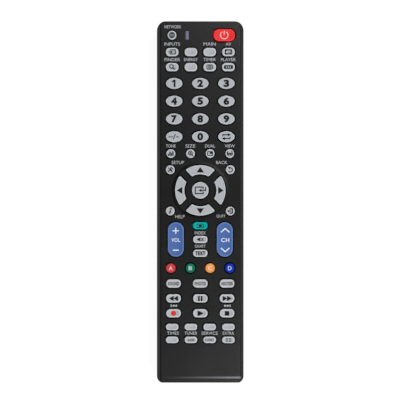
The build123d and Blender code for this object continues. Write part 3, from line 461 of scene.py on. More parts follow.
class Ink:
    """Flat marks drawn in millimetres about a point of a surface, and then raised into thin solids."""

    def __init__(self):
        self.mesh = bmesh.new()
        self.place = Matrix.Identity(4)

    def start(self, middle, z, dx=0.0, dy=0.0, turn=0.0):
        """Moves the point that the next marks are drawn about."""
        self.place = (Matrix.Translation((middle.x + dx * MM, middle.y + dy * MM, z))
                      @ Matrix.Rotation(turn, 4, "Z") @ Matrix.Scale(MM, 4))

    def at(self, place):
        """Where the next mark goes, a hair above the last."""
        self.place = self.place @ Matrix.Translation((0.0, 0.0, STROKE_STEP))
        return self.place @ place

    def bar(self, x0, y0, x1, y1, width):
        """A straight stroke between two points."""
        run = Vector((x1 - x0, y1 - y0, 0.0))
        middle = Matrix.Translation(((x0 + x1) / 2, (y0 + y1) / 2, 0.0))
        place = middle @ Matrix.Rotation(atan2(run.y, run.x), 4, "Z")
        size = Matrix.Diagonal((run.length, width, 1.0, 1.0))
        bmesh.ops.create_grid(self.mesh, x_segments=1, y_segments=1, size=0.5, matrix=self.at(place @ size))

    def strokes(self, points, width):
        """Straight strokes from point to point, with round joints."""
        for (x0, y0), (x1, y1) in zip(points, points[1:]):
            self.bar(x0, y0, x1, y1, width)
        for x, y in points[1:-1]:
            self.dot(x, y, width / 2)

    def dot(self, x, y, radius):
        """A filled circle."""
        bmesh.ops.create_circle(self.mesh, cap_ends=True, segments=DOT_SEGMENTS, radius=radius,
                                matrix=self.at(Matrix.Translation((x, y, 0.0))))

    def block(self, x, y, width, height):
        """A filled rectangle about a point."""
        self.bar(x - width / 2, y, x + width / 2, y, height)

    def patch(self, *points):
        """A filled corner shape, such as a triangle."""
        place = self.at(Matrix.Identity(4))
        self.mesh.faces.new([self.mesh.verts.new(place @ Vector((x, y, 0.0))) for x, y in points])

    def ring(self, x, y, radius, width, start=0.0, end=360.0, squeeze=1.0):
        """A round stroke, or a part of one, inside a radius; angles run from the right, anticlockwise."""
        verts = [self.mesh.verts.new((radius - i * width, 0.0, 0.0)) for i in (0, 1)]
        edge = self.mesh.edges.new(verts)
        known = set(self.mesh.verts)
        spin(self.mesh, verts + [edge], radians(end - start), RING_STEPS, merge=end - start >= 360.0)
        made = verts + [v for v in self.mesh.verts if v not in known]
        place = (Matrix.Translation((x, y, 0.0)) @ Matrix.Diagonal((squeeze, 1.0, 1.0, 1.0))
                 @ Matrix.Rotation(radians(start), 4, "Z"))
        bmesh.ops.transform(self.mesh, matrix=self.at(place), verts=made)

    def frame(self, x, y, width, height, stroke, corner=0.4):
        """The outline of a rounded box."""
        face = box_outline(self.mesh, width, height, corner, FRAME_SEGMENTS)
        verts = list(face.verts)
        known = set(self.mesh.verts)
        step_in(self.mesh, face, stroke, 0.0)
        verts += [v for v in self.mesh.verts if v not in known]
        bmesh.ops.delete(self.mesh, geom=[face], context="FACES_ONLY")
        bmesh.ops.transform(self.mesh, matrix=self.at(Matrix.Translation((x, y, 0.0))), verts=verts)

    def words(self, text, x, y, width, height, weight=0.0, gap=1.0):
        """Letters or digits, stretched to a width and a height about a point."""
        curve = bpy.data.curves.new("words", "FONT")
        curve.body = text
        curve.fill_mode = "FRONT"
        curve.resolution_u = LETTER_RESOLUTION
        curve.offset = weight
        curve.space_character = gap
        writing = bpy.data.objects.new("words", curve)
        bpy.context.scene.collection.objects.link(writing)
        bpy.context.view_layer.update()
        solid = writing.evaluated_get(bpy.context.evaluated_depsgraph_get())
        data = bpy.data.meshes.new_from_object(solid)
        spots = [v.co for v in data.vertices]
        low = Vector((min(p.x for p in spots), min(p.y for p in spots), 0.0))
        high = Vector((max(p.x for p in spots), max(p.y for p in spots), 0.0))
        size = high - low
        stretch = Matrix.Diagonal((width / size.x, height / size.y, 1.0, 1.0))
        place = Matrix.Translation((x, y, 0.0)) @ stretch @ Matrix.Translation(-(low + high) / 2)
        data.transform(self.at(place))
        self.mesh.from_mesh(data)
        bpy.data.objects.remove(writing)
        bpy.data.curves.remove(curve)
        bpy.data.meshes.remove(data)

    def piece(self, name, body, slot, material):
        """Raises the marks into thin solids that move with a body."""
        sizes = bpy.context.scene.print_sizes
        bmesh.ops.remove_doubles(self.mesh, verts=self.mesh.verts, dist=FINE_MERGE)
        loose = [v for v in self.mesh.verts if not v.link_faces]
        bmesh.ops.delete(self.mesh, geom=loose, context="VERTS")
        self.mesh.normal_update()
        bmesh.ops.reverse_faces(self.mesh, faces=[f for f in self.mesh.faces if f.normal.z < 0])
        bmesh.ops.translate(self.mesh, verts=self.mesh.verts, vec=(0.0, 0.0, -sizes.depth))
        made = bmesh.ops.extrude_face_region(self.mesh, geom=self.mesh.faces)
        raised = [item for item in made["geom"] if isinstance(item, bmesh.types.BMVert)]
        bmesh.ops.translate(self.mesh, verts=raised, vec=(0.0, 0.0, sizes.height + sizes.depth))
        add_piece(name, self.mesh, body, [material], sharp=FINE_SHARP)


def power_mark(ink):
    """A ring open at the top, with a bar through the opening."""
    ink.ring(0.0, 0.0, 2.3, 0.42, 122.0, 418.0)
    ink.bar(0.0, 0.1, 0.0, 2.5, 0.42)


def globe_mark(ink):
    """A globe with its lines."""
    ink.ring(0.0, 0.0, 1.65, 0.42)
    ink.ring(0.0, 0.0, 1.5, 0.6, squeeze=0.5)
    ink.bar(-1.45, 0.0, 1.45, 0.0, 0.36)
    ink.bar(-1.2, 0.75, 1.2, 0.75, 0.28)
    ink.bar(-1.2, -0.75, 1.2, -0.75, 0.28)


def input_mark(ink):
    """An arrow that enters a frame from the left."""
    ink.strokes(((-0.9, 0.6), (-0.9, 1.15), (1.75, 1.15), (1.75, -1.15), (-0.9, -1.15), (-0.9, -0.6)), 0.5)
    ink.bar(-2.1, 0.0, -0.6, 0.0, 0.56)
    ink.patch((-0.7, 0.75), (-0.7, -0.75), (0.5, 0.0))


def screen_mark(ink):
    """A screen in a frame."""
    ink.frame(0.0, 0.0, 3.9, 2.9, 0.72)
    ink.block(0.35, -0.25, 0.7, 0.4)


def magnifier_mark(ink):
    """A magnifying glass."""
    ink.ring(-0.35, 0.35, 1.25, 0.5)
    ink.bar(0.4, -0.4, 1.5, -1.5, 0.72)


def clock_mark(ink):
    """A clock face in a frame."""
    ink.frame(0.0, 0.0, 3.4, 2.8, 0.42, 0.8)
    ink.ring(0.0, 0.0, 0.95, 0.36)
    ink.strokes(((0.0, 0.6), (0.0, 0.0), (0.45, 0.0)), 0.34)


def strip_mark(ink):
    """A strip of film."""
    for y in (0.72, -0.72):
        ink.block(0.0, y, 4.9, 0.5)
    for x, wide in ((-1.9, 1.1), (-0.55, 0.5), (0.55, 0.5), (1.9, 1.1)):
        ink.block(x, 0.0, wide, 1.5)


def bars_mark(ink):
    """Level bars of sound."""
    for x, tall in ((-1.2, 1.1), (-0.4, 2.3), (0.4, 1.6), (1.2, 2.6)):
        ink.bar(x, -1.25, x, -1.25 + tall, 0.64)


def zoom_mark(ink):
    """A magnifying glass over a frame's corner."""
    ink.ring(-0.05, 0.25, 1.25, 0.5)
    ink.dot(-0.05, 0.25, 0.45)
    ink.bar(0.75, -0.55, 1.55, -1.35, 0.66)


def two_frames_mark(ink):
    """A small dark picture in the corner of a frame."""
    ink.frame(0.0, 0.0, 3.1, 2.5, 0.42)
    ink.block(0.7, 0.48, 1.6, 1.4)


def glasses_mark(ink):
    """A pair of glasses."""
    for side in (-1, 1):
        ink.frame(side * 0.9, -0.35, 1.6, 1.5, 0.55, 0.5)
        ink.bar(side * 1.5, 0.25, side * 0.9, 1.3, 0.42)
    ink.bar(-0.4, 0.0, 0.4, 0.0, 0.5)


def tools_mark(ink):
    """A spanner and a driver, crossed."""
    ink.bar(-1.2, -1.2, 0.6, 0.6, 0.55)
    ink.ring(0.85, 0.85, 0.76, 0.46, 80.0, 370.0)
    ink.bar(1.25, -1.25, 0.1, -0.1, 0.74)
    ink.bar(-0.1, 0.1, -1.15, 1.15, 0.42)


def return_mark(ink):
    """An arrow that turns back."""
    ink.ring(0.1, -0.15, 1.4, 0.52, -150.0, 120.0)
    ink.patch((-0.2, 1.85), (-1.45, 1.1), (-0.2, 0.35))


def info_mark(ink):
    """A slanted i."""
    ink.bar(-0.35, -1.4, 0.2, 0.45, 0.78)
    ink.dot(0.45, 1.25, 0.5)


def door_mark(ink):
    """An arrow out of a doorway."""
    ink.strokes(((-0.3, 1.2), (1.2, 1.2), (1.2, -1.2), (-0.3, -1.2)), 0.62)
    ink.bar(-0.7, 0.0, 0.6, 0.0, 0.56)
    ink.patch((-0.6, -0.8), (-0.6, 0.8), (-1.7, 0.0))


def menu_mark(ink):
    """A small list in a frame."""
    ink.frame(0.0, 0.0, 3.7, 2.1, 0.3, 0.5)
    ink.block(0.0, 0.0, 1.6, 1.1)


def silence_mark(ink):
    """A loudspeaker with a stroke through it."""
    ink.block(-1.15, 0.0, 0.9, 1.1)
    ink.patch((-1.0, 0.4), (-1.0, -0.4), (0.1, -1.25), (0.1, 1.25))
    ink.bar(0.55, 0.75, 1.7, -0.75, 0.42)
    ink.bar(0.55, -0.75, 1.7, 0.75, 0.42)


def text_mark(ink):
    """A word on the list key."""
    ink.words("TEXT", 0.0, 0.0, 5.4, 2.35, 0.055, 1.2)


def enter_mark(ink):
    """An arrow that comes down at the right and enters an open frame."""
    ink.strokes(((1.6, 0.75), (1.6, 1.8), (-2.75, 1.8), (-2.75, -1.8), (1.6, -1.8), (1.6, -0.75)), 0.58)
    ink.strokes(((2.95, 1.75), (2.95, 0.0), (0.4, 0.0)), 0.58)
    ink.patch((0.6, 0.95), (0.6, -0.95), (-0.85, 0.0))


def up_mark(ink):
    """A triangle that points away from the middle of the ring."""
    ink.patch((-2.0, -1.4), (2.0, -1.4), (0.0, 1.55))


def rewind_mark(ink):
    """Two triangles to the left."""
    for x in (-2.4, 0.0):
        ink.patch((x + 2.5, 1.5), (x, 0.0), (x + 2.5, -1.5))


def forward_mark(ink):
    """Two triangles to the right."""
    for x in (-2.4, 0.0):
        ink.patch((x, 1.5), (x, -1.5), (x + 2.5, 0.0))


def pause_mark(ink):
    """Two upright bars."""
    for x in (-0.75, 0.75):
        ink.block(x, 0.0, 0.95, 2.85)


def record_mark(ink):
    """A dot."""
    ink.dot(0.0, 0.0, 1.4)


def play_mark(ink):
    """A triangle to the right."""
    ink.patch((-1.5, 1.7), (-1.5, -1.7), (1.85, 0.0))


def stop_mark(ink):
    """A square."""
    ink.block(0.0, 0.0, 2.45, 2.45)


def columns_mark(ink):
    """Two columns of short lines."""
    for x in (-0.85, 0.85):
        for y in (-0.75, 0.0, 0.75):
            ink.block(x, y, 1.25, 0.42)


def swap_mark(ink):
    """Two arrows that pass each other."""
    for turn in (1, -1):
        ink.strokes(((-2.0 * turn, 0.2 * turn), (-2.0 * turn, 1.05 * turn), (1.2 * turn, 1.05 * turn)), 0.58)
        ink.patch((0.8 * turn, 1.95 * turn), (0.8 * turn, 0.15 * turn), (2.5 * turn, 1.05 * turn))


def dash_mark(ink):
    """Two short lines, a stroke, and one short line."""
    ink.bar(-3.05, -0.1, -2.0, -0.1, 0.5)
    ink.bar(-1.7, -0.1, -0.65, -0.1, 0.5)
    ink.bar(-0.45, -1.45, 0.7, 1.45, 0.5)
    ink.bar(1.2, -0.1, 2.5, -0.1, 0.5)


def volume_mark(ink):
    """Louder, the word for volume, and softer."""
    ink.bar(-1.7, 4.8, 1.7, 4.8, 0.6)
    ink.bar(0.0, 3.1, 0.0, 6.5, 0.6)
    ink.words("VOL", 0.0, -0.3, 4.8, 2.1, 0.015, 1.06)
    ink.bar(-1.65, -5.9, 1.65, -5.9, 0.7)


def channel_mark(ink):
    """Up, the word for channel, and down."""
    ink.strokes(((-2.1, 3.95), (0.25, 6.05), (2.6, 3.95)), 0.65)
    ink.words("CH", 0.25, -0.3, 4.5, 2.3, 0.02, 1.16)
    ink.strokes(((-2.1, -4.65), (0.25, -6.75), (2.6, -4.65)), 0.65)


# How much bolder the letters and digits are drawn, in parts of the font's size
FACE_WEIGHT = 0.005
WORD_WEIGHT = 0.03
LETTER_WEIGHT = 0.02
DIGIT_WEIGHT = 0.055
# How far the letters of a word on a key stand apart, 1 being as in the font
WORD_GAP = 1.18
# Width of the letter on a coloured key against its height
LETTER_SHAPE = 0.88


def word(text, width, height=1.7):
    """A short word on a key."""
    def draw(ink):
        ink.words(text, 0.0, 0.0, width, height, WORD_WEIGHT, WORD_GAP)
    return draw


def letter(text):
    """A capital letter on a coloured key."""
    def draw(ink):
        tall = bpy.context.scene.print_sizes.letter_height / MM
        ink.words(text, 0.0, 0.0, tall * LETTER_SHAPE, tall, LETTER_WEIGHT)
    return draw


def digit(text):
    """A digit on a number key."""
    def draw(ink):
        sizes = bpy.context.scene.print_sizes
        ink.words(text, 0.0, 0.0, sizes.digit_width / MM, sizes.digit_height / MM, DIGIT_WEIGHT)
    return draw


def one_mark(ink):
    """The digit 1, an upright with a flag."""
    half = bpy.context.scene.print_sizes.digit_height / MM / 2
    ink.block(0.25, 0.0, 1.0, 2 * half)
    ink.patch((0.0, half), (-1.2, half - 0.75), (-1.2, half - 1.65), (0.0, half - 1.0))


def skip_mark(ink, side):
    """Two triangles that point to one side, and a bar."""
    for x in (-1.85 * side, -0.4 * side):
        ink.patch(*((x, 0.72), (x, -0.72), (x + 1.5 * side, 0.0))[::side])
    ink.block(1.4 * side, 0.0, 0.5, 1.44)


DARK = "ink_black"
PALE = "ink_white"

MARKS = {
    "power_key": (PALE, power_mark),
    "globe_key": (DARK, globe_mark),
    "source_row_keys": (DARK, input_mark, None, None, screen_mark),
    "search_row_keys": (DARK, magnifier_mark, None, clock_mark, strip_mark),
    "dash_key": (DARK, dash_mark),
    "swap_key": (DARK, swap_mark),
    "picture_row_keys": (DARK, bars_mark, zoom_mark, two_frames_mark, glasses_mark),
    "tools_return_keys": (DARK, tools_mark, return_mark),
    "info_key": (DARK, info_mark),
    "exit_key": (DARK, door_mark),
    "enter_key": (DARK, enter_mark),
    "menu_key": (DARK, menu_mark),
    "mute_key": (DARK, silence_mark),
    "list_key": (DARK, text_mark),
    "volume_rocker": (PALE, volume_mark),
    "channel_rocker": (PALE, channel_mark),
    "red_key": (PALE, letter("A")),
    "green_key": (PALE, letter("B")),
    "orange_key": (PALE, letter("C")),
    "blue_key": (PALE, letter("D")),
    "media_row_keys": (DARK, word("SOUND", 6.1), word("PHOTO", 6.1), word("NOTES", 6.1)),
    "rewind_key": (DARK, rewind_mark),
    "pause_key": (DARK, pause_mark),
    "forward_key": (DARK, forward_mark),
    "record_key": ("ink_red", record_mark),
    "play_key": (DARK, play_mark),
    "stop_key": (DARK, stop_mark),
    "lower_row_keys": (DARK, None, word("ADD", 3.6, 1.4), word("EVENT", 4.6, 1.4), columns_mark),
}
MARKS.update({f"number_{i}_key": (DARK, digit(str(i)) if i != 1 else one_mark) for i in range(10)})

DIRECTIONS = (("up_key", 0.0), ("left_key", pi / 2), ("down_key", pi), ("right_key", -pi / 2))
ARROW_RADIUS = 11.3 * MM

# Key, cap, word, middle of the word from the middle of the cap, and width of the word
FACE_WORDS = (
    ("globe_key", 0, "NETWORK", 0.5, 4.7, 9.3),
    ("source_row_keys", 0, "INPUTS", 0.0, 4.5, 8.7),
    ("source_row_keys", 2, "MAIN", 0.0, 4.5, 6.8),
    ("source_row_keys", 3, "AV", 0.0, 4.5, 3.0),
    ("search_row_keys", 0, "FINDER", 0.1, 4.2, 8.6),
    ("search_row_keys", 1, "ENERGY", 0.0, 4.2, 7.6),
    ("search_row_keys", 2, "TIMER", 0.0, 4.2, 6.8),
    ("search_row_keys", 3, "PLAYER", 0.0, 4.2, 8.2),
    ("picture_row_keys", 0, "TONE", 0.0, 4.2, 5.4),
    ("picture_row_keys", 1, "SIZE", 0.0, 4.2, 5.4),
    ("picture_row_keys", 2, "DUAL", 0.0, 4.2, 5.6),
    ("picture_row_keys", 3, "VIEW", 0.0, 4.2, 5.4),
    ("tools_return_keys", 0, "SETUP", 4.15, 4.0, 6.8),
    ("tools_return_keys", 1, "BACK", -4.7, 4.0, 6.2),
    ("info_key", 0, "HELP", 5.35, -3.1, 5.2),
    ("exit_key", 0, "QUIT", -5.15, -2.9, 5.0),
    ("menu_key", 0, "INDEX", 0.0, -3.95, 6.1),
    ("mute_key", 0, "QUIET", 0.0, -3.8, 6.0),
    ("guide_row_keys", 0, "TIMES", 0.4, -3.45, 6.5),
    ("guide_row_keys", 1, "TUNER", 0.0, -3.45, 7.0),
    ("guide_row_keys", 2, "SERVICE", 0.0, -3.45, 9.0),
    ("guide_row_keys", 3, "EXTRA", 0.0, -3.45, 6.2),
)

# Skip marks under their keys: key, side they point to, and offsets in millimetres
SKIP_MARKS = (("rewind_key", -1, 0.05, -4.1), ("forward_key", 1, 0.3, -4.1))


# Nodes

WHITE = (1.0, 1.0, 1.0)


def feed(socket, value):
    """Links a socket to another one, or gives it a plain number or colour."""
    if isinstance(value, Value):
        value = value.socket
    if isinstance(value, bpy.types.NodeSocket):
        socket.id_data.links.new(value, socket)
    elif socket.type == "RGBA":
        socket.default_value = (*value[:3], 1.0)
    else:
        socket.default_value = value


def add_node(tree, kind, inputs=None, **settings):
    """A shader node with its settings, and with its inputs fed by name or number."""
    node = tree.nodes.new("ShaderNode" + kind)
    for name, setting in settings.items():
        setattr(node, name, setting)
    for name, value in (inputs or {}).items():
        feed(node.inputs[name], value)
    return node


class Value:
    """A socket's value: sums written with it become Math nodes."""

    def __init__(self, socket):
        self.socket = socket

    def math(self, operation, *numbers):
        """The result of a Math node."""
        node = add_node(self.socket.id_data, "Math", dict(enumerate(numbers)), operation=operation)
        return Value(node.outputs[0])

    def __add__(self, other):
        return self.math("ADD", self, other)

    def __radd__(self, other):
        return self.math("ADD", other, self)

    def __sub__(self, other):
        return self.math("SUBTRACT", self, other)

    def __rsub__(self, other):
        return self.math("SUBTRACT", other, self)

    def __mul__(self, other):
        return self.math("MULTIPLY", self, other)

    def __truediv__(self, other):
        return self.math("DIVIDE", self, other)

    def __rtruediv__(self, other):
        return self.math("DIVIDE", other, self)

    def __abs__(self):
        return self.math("ABSOLUTE", self)

    def root(self):
        """The square root."""
        return self.math("SQRT", self)

    def clamped(self):
        """Keeps the result of the sum just made between 0 and 1."""
        self.socket.node.use_clamp = True
        return self


def values_of(node):
    """A node's outputs by name."""
    return {socket.name: Value(socket) for socket in node.outputs}


def object_place(tree):
    """Object coordinates."""
    return add_node(tree, "TexCoord").outputs["Object"]


def blend_colours(tree, factor, first, second, how="MIX"):
    """Two colours mixed."""
    inputs = {0: factor, 6: first, 7: second}
    return add_node(tree, "Mix", inputs, data_type="RGBA", blend_type=how).outputs[2]


def noise(tree, scale, detail, stretch=None):
    """Noise on Object coordinates, with so many features to the metre."""
    place = object_place(tree)
    if stretch:
        place = add_node(tree, "Mapping", {"Vector": place, "Scale": stretch}).outputs["Vector"]
    node = add_node(tree, "TexNoise", {"Vector": place, "Scale": scale, "Detail": detail})
    return Value(node.outputs[0])


def per_metre(size):
    """How many features of a size go into a metre."""
    return 1.0 / size


# Shared effects

# Size of the patches that make the worn edges and the painted foot highlight uneven
UNEVENNESS_SIZE = 1.5 * MM
# The painted highlight on the crest at the foot begins this far left of the middle, and grows with every
# metre to the right
FOOT_HIGHLIGHT_START = 28.0 * MM
FOOT_HIGHLIGHT_GROWTH = 21.0
# Heights above which the crests get their painted highlight, and how much more with every metre above them
FOOT_HIGHLIGHT_LEVEL = 19.6 * MM
FOOT_HIGHLIGHT_RISE = 2000.0
DISC_HIGHLIGHT_LEVEL = 18.0 * MM
DISC_HIGHLIGHT_RISE = 1000.0
# Cosine of the angle between an axis and the diagonal towards which the disc's edge gets its painted
# highlight
DIAGONAL = 0.71


def add_group(name, inputs, outputs):
    """A node group with named sockets: returns it, its inputs as values, and the sockets of its outputs."""
    group = bpy.data.node_groups.new(name, "ShaderNodeTree")
    kinds = {"Colour": "NodeSocketColor"}
    for label, value in inputs.items():
        kind = kinds.get(label, "NodeSocketFloat")
        group.interface.new_socket(name=label, in_out="INPUT", socket_type=kind).default_value = value
    for label in outputs:
        kind = kinds.get(label, "NodeSocketFloat")
        group.interface.new_socket(name=label, in_out="OUTPUT", socket_type=kind)
    return group, values_of(group.nodes.new("NodeGroupInput")), group.nodes.new("NodeGroupOutput").inputs


def spark_grain(name):
    """Fine pitted grain, as a mould eroded by sparks leaves it: a height and a mask of its pits."""
    group, given, result = add_group(name, {"Grain Size": 0.3 * MM}, ("Height", "Pits"))
    scale = per_metre(given["Grain Size"])
    fine = noise(group, scale, 2.0)
    inputs = {"Vector": object_place(group), "Scale": scale}
    cells = add_node(group, "TexVoronoi", inputs, feature="SMOOTH_F1")
    height = fine * 0.5 + Value(cells.outputs[0]) * 0.6
    feed(result["Height"], height)
    feed(result["Pits"], ((height - 0.35) * 2.2).clamped())
    return group


def handling(name):
    """Slow changes of shade and gloss, as skin and dust leave them."""
    inputs = {"Colour": (0.5, 0.5, 0.5, 1.0), "Roughness": 0.45, "Shade Change": 0.08, "Gloss Change": 0.08,
              "Spread": 9.0 * MM}
    group, given, result = add_group(name, inputs, ("Colour", "Roughness"))
    patches = noise(group, per_metre(given["Spread"]), 3.0) - 0.5
    shade = 1.0 + patches * given["Shade Change"]
    shaded = add_node(group, "VectorMath", {0: given["Colour"], "Scale": shade}, operation="SCALE")
    feed(result["Colour"], shaded.outputs[0])
    feed(result["Roughness"], (given["Roughness"] + patches * given["Gloss Change"]).clamped())
    return group


def rubbed_edges(name):
    """A mask of the rounded corners, where the case is painted lighter: partly wear that hands and cloths
    polish, partly a painted highlight.
    """
    group, given, result = add_group(name, {"Width": 0.4 * MM, "Gain": 5.0}, ("Mask",))
    bevel = add_node(group, "Bevel", {"Radius": given["Width"]}, samples=4)
    normal = add_node(group, "NewGeometry").outputs["Normal"]
    turned = add_node(group, "VectorMath", {0: bevel.outputs[0], 1: normal}, operation="DOT_PRODUCT")
    bend = ((1.0 - Value(turned.outputs["Value"])) * given["Gain"]).clamped()
    uneven = 0.45 + noise(group, per_metre(UNEVENNESS_SIZE), 3.0) * 0.9
    feed(result["Mask"], (bend * uneven).clamped())
    return group


def crest(away, half_width, height, level, rise):
    """A mask of what lies within a half width of a crest and above a level."""
    near = (1.0 - away / half_width).clamped()
    return near * ((height - level) * rise).clamped()


def foot_crest(name):
    """A mask of the crest where the face turns down to the foot, where a painted highlight goes, brightest on
    the right.
    """
    inputs = {"Place": -96.95 * MM, "Half Width": 0.8 * MM, "Wear": 0.3}
    group, given, result = add_group(name, inputs, ("Mask",))
    place = values_of(add_node(group, "SeparateXYZ", {0: object_place(group)}))
    away = abs(place["Y"] - given["Place"])
    across = ((place["X"] + FOOT_HIGHLIGHT_START) * FOOT_HIGHLIGHT_GROWTH).clamped()
    mask = crest(away, given["Half Width"], place["Z"], FOOT_HIGHLIGHT_LEVEL, FOOT_HIGHLIGHT_RISE) * (across * across)
    uneven = 1.0 - noise(group, per_metre(UNEVENNESS_SIZE), 3.0) * given["Wear"]
    feed(result["Mask"], (mask * uneven).clamped())
    return group


def disc_crest(name):
    """A mask of the raised disc's edge, where a painted highlight goes, brightest towards the upper right."""
    inputs = {"Middle": 0.0, "Radius": 15.0 * MM, "Half Width": 1.1 * MM}
    group, given, result = add_group(name, inputs, ("Mask",))
    place = values_of(add_node(group, "SeparateXYZ", {0: object_place(group)}))
    x = place["X"] / given["Radius"]
    y = (place["Y"] - given["Middle"]) / given["Radius"]
    away = abs((x * x + y * y).root() - 1.0) * given["Radius"]
    toward = ((x + y) * DIAGONAL).clamped()
    near = crest(away, given["Half Width"], place["Z"], DISC_HIGHLIGHT_LEVEL, DISC_HIGHLIGHT_RISE)
    feed(result["Mask"], near * (toward * toward))
    return group


def place_group(tree, build, **values):
    """Places a shared effect, made when it is first asked for; underscores in labels stand for spaces."""
    name = build.__name__.replace("_", " ").capitalize()
    group = bpy.data.node_groups.get(name) or build(name)
    inputs = {label.replace("_", " "): value for label, value in values.items()}
    return values_of(add_node(tree, "Group", inputs, node_tree=group))


# Finishes

# Painted highlights: colours of the case on its two crests, at the foot and at the disc's edge
FOOT_HIGHLIGHT_COLOUR = (0.33, 0.335, 0.35)
DISC_HIGHLIGHT_COLOUR = (0.045, 0.045, 0.047)


def shade_of(base, share):
    """A colour made darker or lighter by a factor."""
    return tuple(share * part for part in base)


def made_once(build):
    """Lets the maker of a finish give back the material that already has its name."""
    def find(name, *values, **more):
        return bpy.data.materials.get(name) or build(name, *values, **more)
    return find


def new_finish(name, **values):
    """A material, its node tree and its shader; underscores in labels stand for spaces."""
    material = bpy.data.materials.new(name)
    material.use_nodes = True
    shader = material.node_tree.nodes["Principled BSDF"]
    for label, value in values.items():
        feed(shader.inputs[label.replace("_", " ")], value)
    return material, material.node_tree, shader


def handled(tree, base, roughness, shade, gloss, spread):
    """A colour and a roughness with the changes that handling leaves on them."""
    hands = place_group(tree, handling, Colour=base, Roughness=roughness, Shade_Change=shade,
                        Gloss_Change=gloss, Spread=spread)
    return hands["Colour"], hands["Roughness"]


def cover(shader, colour, roughness, height=None, strength=0.0, depth=0.0):
    """Gives a shader its colour and roughness, and a height field as its bump."""
    feed(shader.inputs["Base Color"], colour)
    feed(shader.inputs["Roughness"], roughness)
    if height:
        inputs = {"Strength": strength, "Distance": depth, "Height": height}
        feed(shader.inputs["Normal"], add_node(shader.id_data, "Bump", inputs).outputs[0])


@made_once
def case_plastic(name):
    """Textured black plastic whose edges are painted lighter, partly as wear and partly as a painted
    highlight, with painted highlights on the crests at the foot and the disc.
    """
    base = bpy.context.scene.finish_colours.case_black
    material, tree, shader = new_finish(name, Specular_IOR_Level=0.32)
    grain = place_group(tree, spark_grain, Grain_Size=0.34 * MM)
    colour, roughness = handled(tree, base, 0.315, shade=0.25, gloss=0.08, spread=14.0 * MM)
    edges = place_group(tree, rubbed_edges, Width=0.5 * MM, Gain=5.0)["Mask"]
    foot = place_group(tree, foot_crest, Place=-96.95 * MM, Half_Width=0.8 * MM, Wear=0.3)["Mask"]
    disc = place_group(tree, disc_crest, Middle=pad_middle().y, Radius=15.0 * MM,
                       Half_Width=1.1 * MM)["Mask"]
    colour = blend_colours(tree, grain["Pits"] * 0.55, colour, shade_of(base, 2.2))
    # Edges painted lighter: partly wear, partly a painted highlight
    colour = blend_colours(tree, edges * 0.5, colour, shade_of(base, 3.0))
    # Painted highlight on the crest at the foot, brightest on the right
    colour = blend_colours(tree, foot, colour, FOOT_HIGHLIGHT_COLOUR)
    # Painted highlight on the raised disc's edge, brightest towards the upper right
    colour = blend_colours(tree, disc, colour, DISC_HIGHLIGHT_COLOUR)
    cover(shader, colour, roughness - edges * 0.1, grain["Height"], strength=0.55, depth=0.05 * MM)
    return material


@made_once
def key_rubber(name, slot):
    """Satin rubber of a key: a smooth rim painted paler as a highlight, and a darker field with a fine grain.
    """
    base = getattr(bpy.context.scene.finish_colours, slot)
    material, tree, shader = new_finish(name, Specular_IOR_Level=0.3 if slot == "key_grey" else 0.1)
    field = Value(add_node(tree, "Attribute", attribute_name="field").outputs["Fac"])
    grain = place_group(tree, spark_grain, Grain_Size=0.2 * MM)
    colour, roughness = handled(tree, base, 0.42, shade=0.06, gloss=0.1, spread=5.0 * MM)
    dark = blend_colours(tree, 1.0, colour, (0.86, 0.86, 0.87), "MULTIPLY")
    # The rim is painted paler towards white, a painted highlight
    rim_highlight = {"key_grey": 0.2, "key_sky_blue": 0.07}.get(slot, 0.0)
    light = blend_colours(tree, rim_highlight, colour, WHITE)
    freckle = blend_colours(tree, grain["Pits"] * 0.22, dark, light)
    colour = blend_colours(tree, field, light, freckle)
    height = grain["Height"] * (0.15 + field * 0.85)
    cover(shader, colour, roughness + field * 0.1, height, strength=0.3, depth=0.03 * MM)
    return material


@made_once
def plain_part(name, base, roughness, grain_size, grain_strength, coat=0.0, specular=0.5, gloss=0.12,
               spread=4.0 * MM, depth=0.04 * MM):
    """A plain moulded, dipped or printed part, with its own grain, shade and gloss."""
    material, tree, shader = new_finish(name, Coat_Weight=coat, Specular_IOR_Level=specular)
    grain = place_group(tree, spark_grain, Grain_Size=grain_size)
    colour, roughness = handled(tree, base, roughness, shade=0.12, gloss=gloss, spread=spread)
    cover(shader, colour, roughness, grain["Height"], strength=grain_strength, depth=depth)
    return material


@made_once
def plated_metal(name, base, roughness, stretch):
    """Plated steel or tin with fine drawn lines."""
    material, tree, shader = new_finish(name, Metallic=1.0)
    lines = noise(tree, per_metre(0.35 * MM), 3.0, stretch)
    colour, roughness = handled(tree, base, roughness, shade=0.25, gloss=0.2, spread=3.0 * MM)
    colour = blend_colours(tree, lines * 0.5, colour, shade_of(base, 0.72))
    cover(shader, colour, roughness, lines, strength=0.25, depth=0.02 * MM)
    return material


@made_once
def board_laminate(name):
    """Brown phenolic laminate with its fibres, seen through thin green resist."""
    material, tree, shader = new_finish(name, Coat_Weight=0.3)
    fibres = noise(tree, per_metre(0.5 * MM), 4.0, (1.0, 0.12, 1.0))
    colour, roughness = handled(tree, (0.2, 0.15, 0.045), 0.4, shade=0.3, gloss=0.1, spread=6.0 * MM)
    colour = blend_colours(tree, fibres * 0.7, colour, (0.1, 0.12, 0.03))
    cover(shader, colour, roughness, fibres, strength=0.2, depth=0.03 * MM)
    return material


@made_once
def clear_resin(name, base, roughness):
    """Cast clear or tinted resin of an LED."""
    material, tree, shader = new_finish(name, Transmission_Weight=0.9, IOR=1.52)
    colour, roughness = handled(tree, base, roughness, shade=0.05, gloss=0.05, spread=2.0 * MM)
    cover(shader, colour, roughness)
    return material


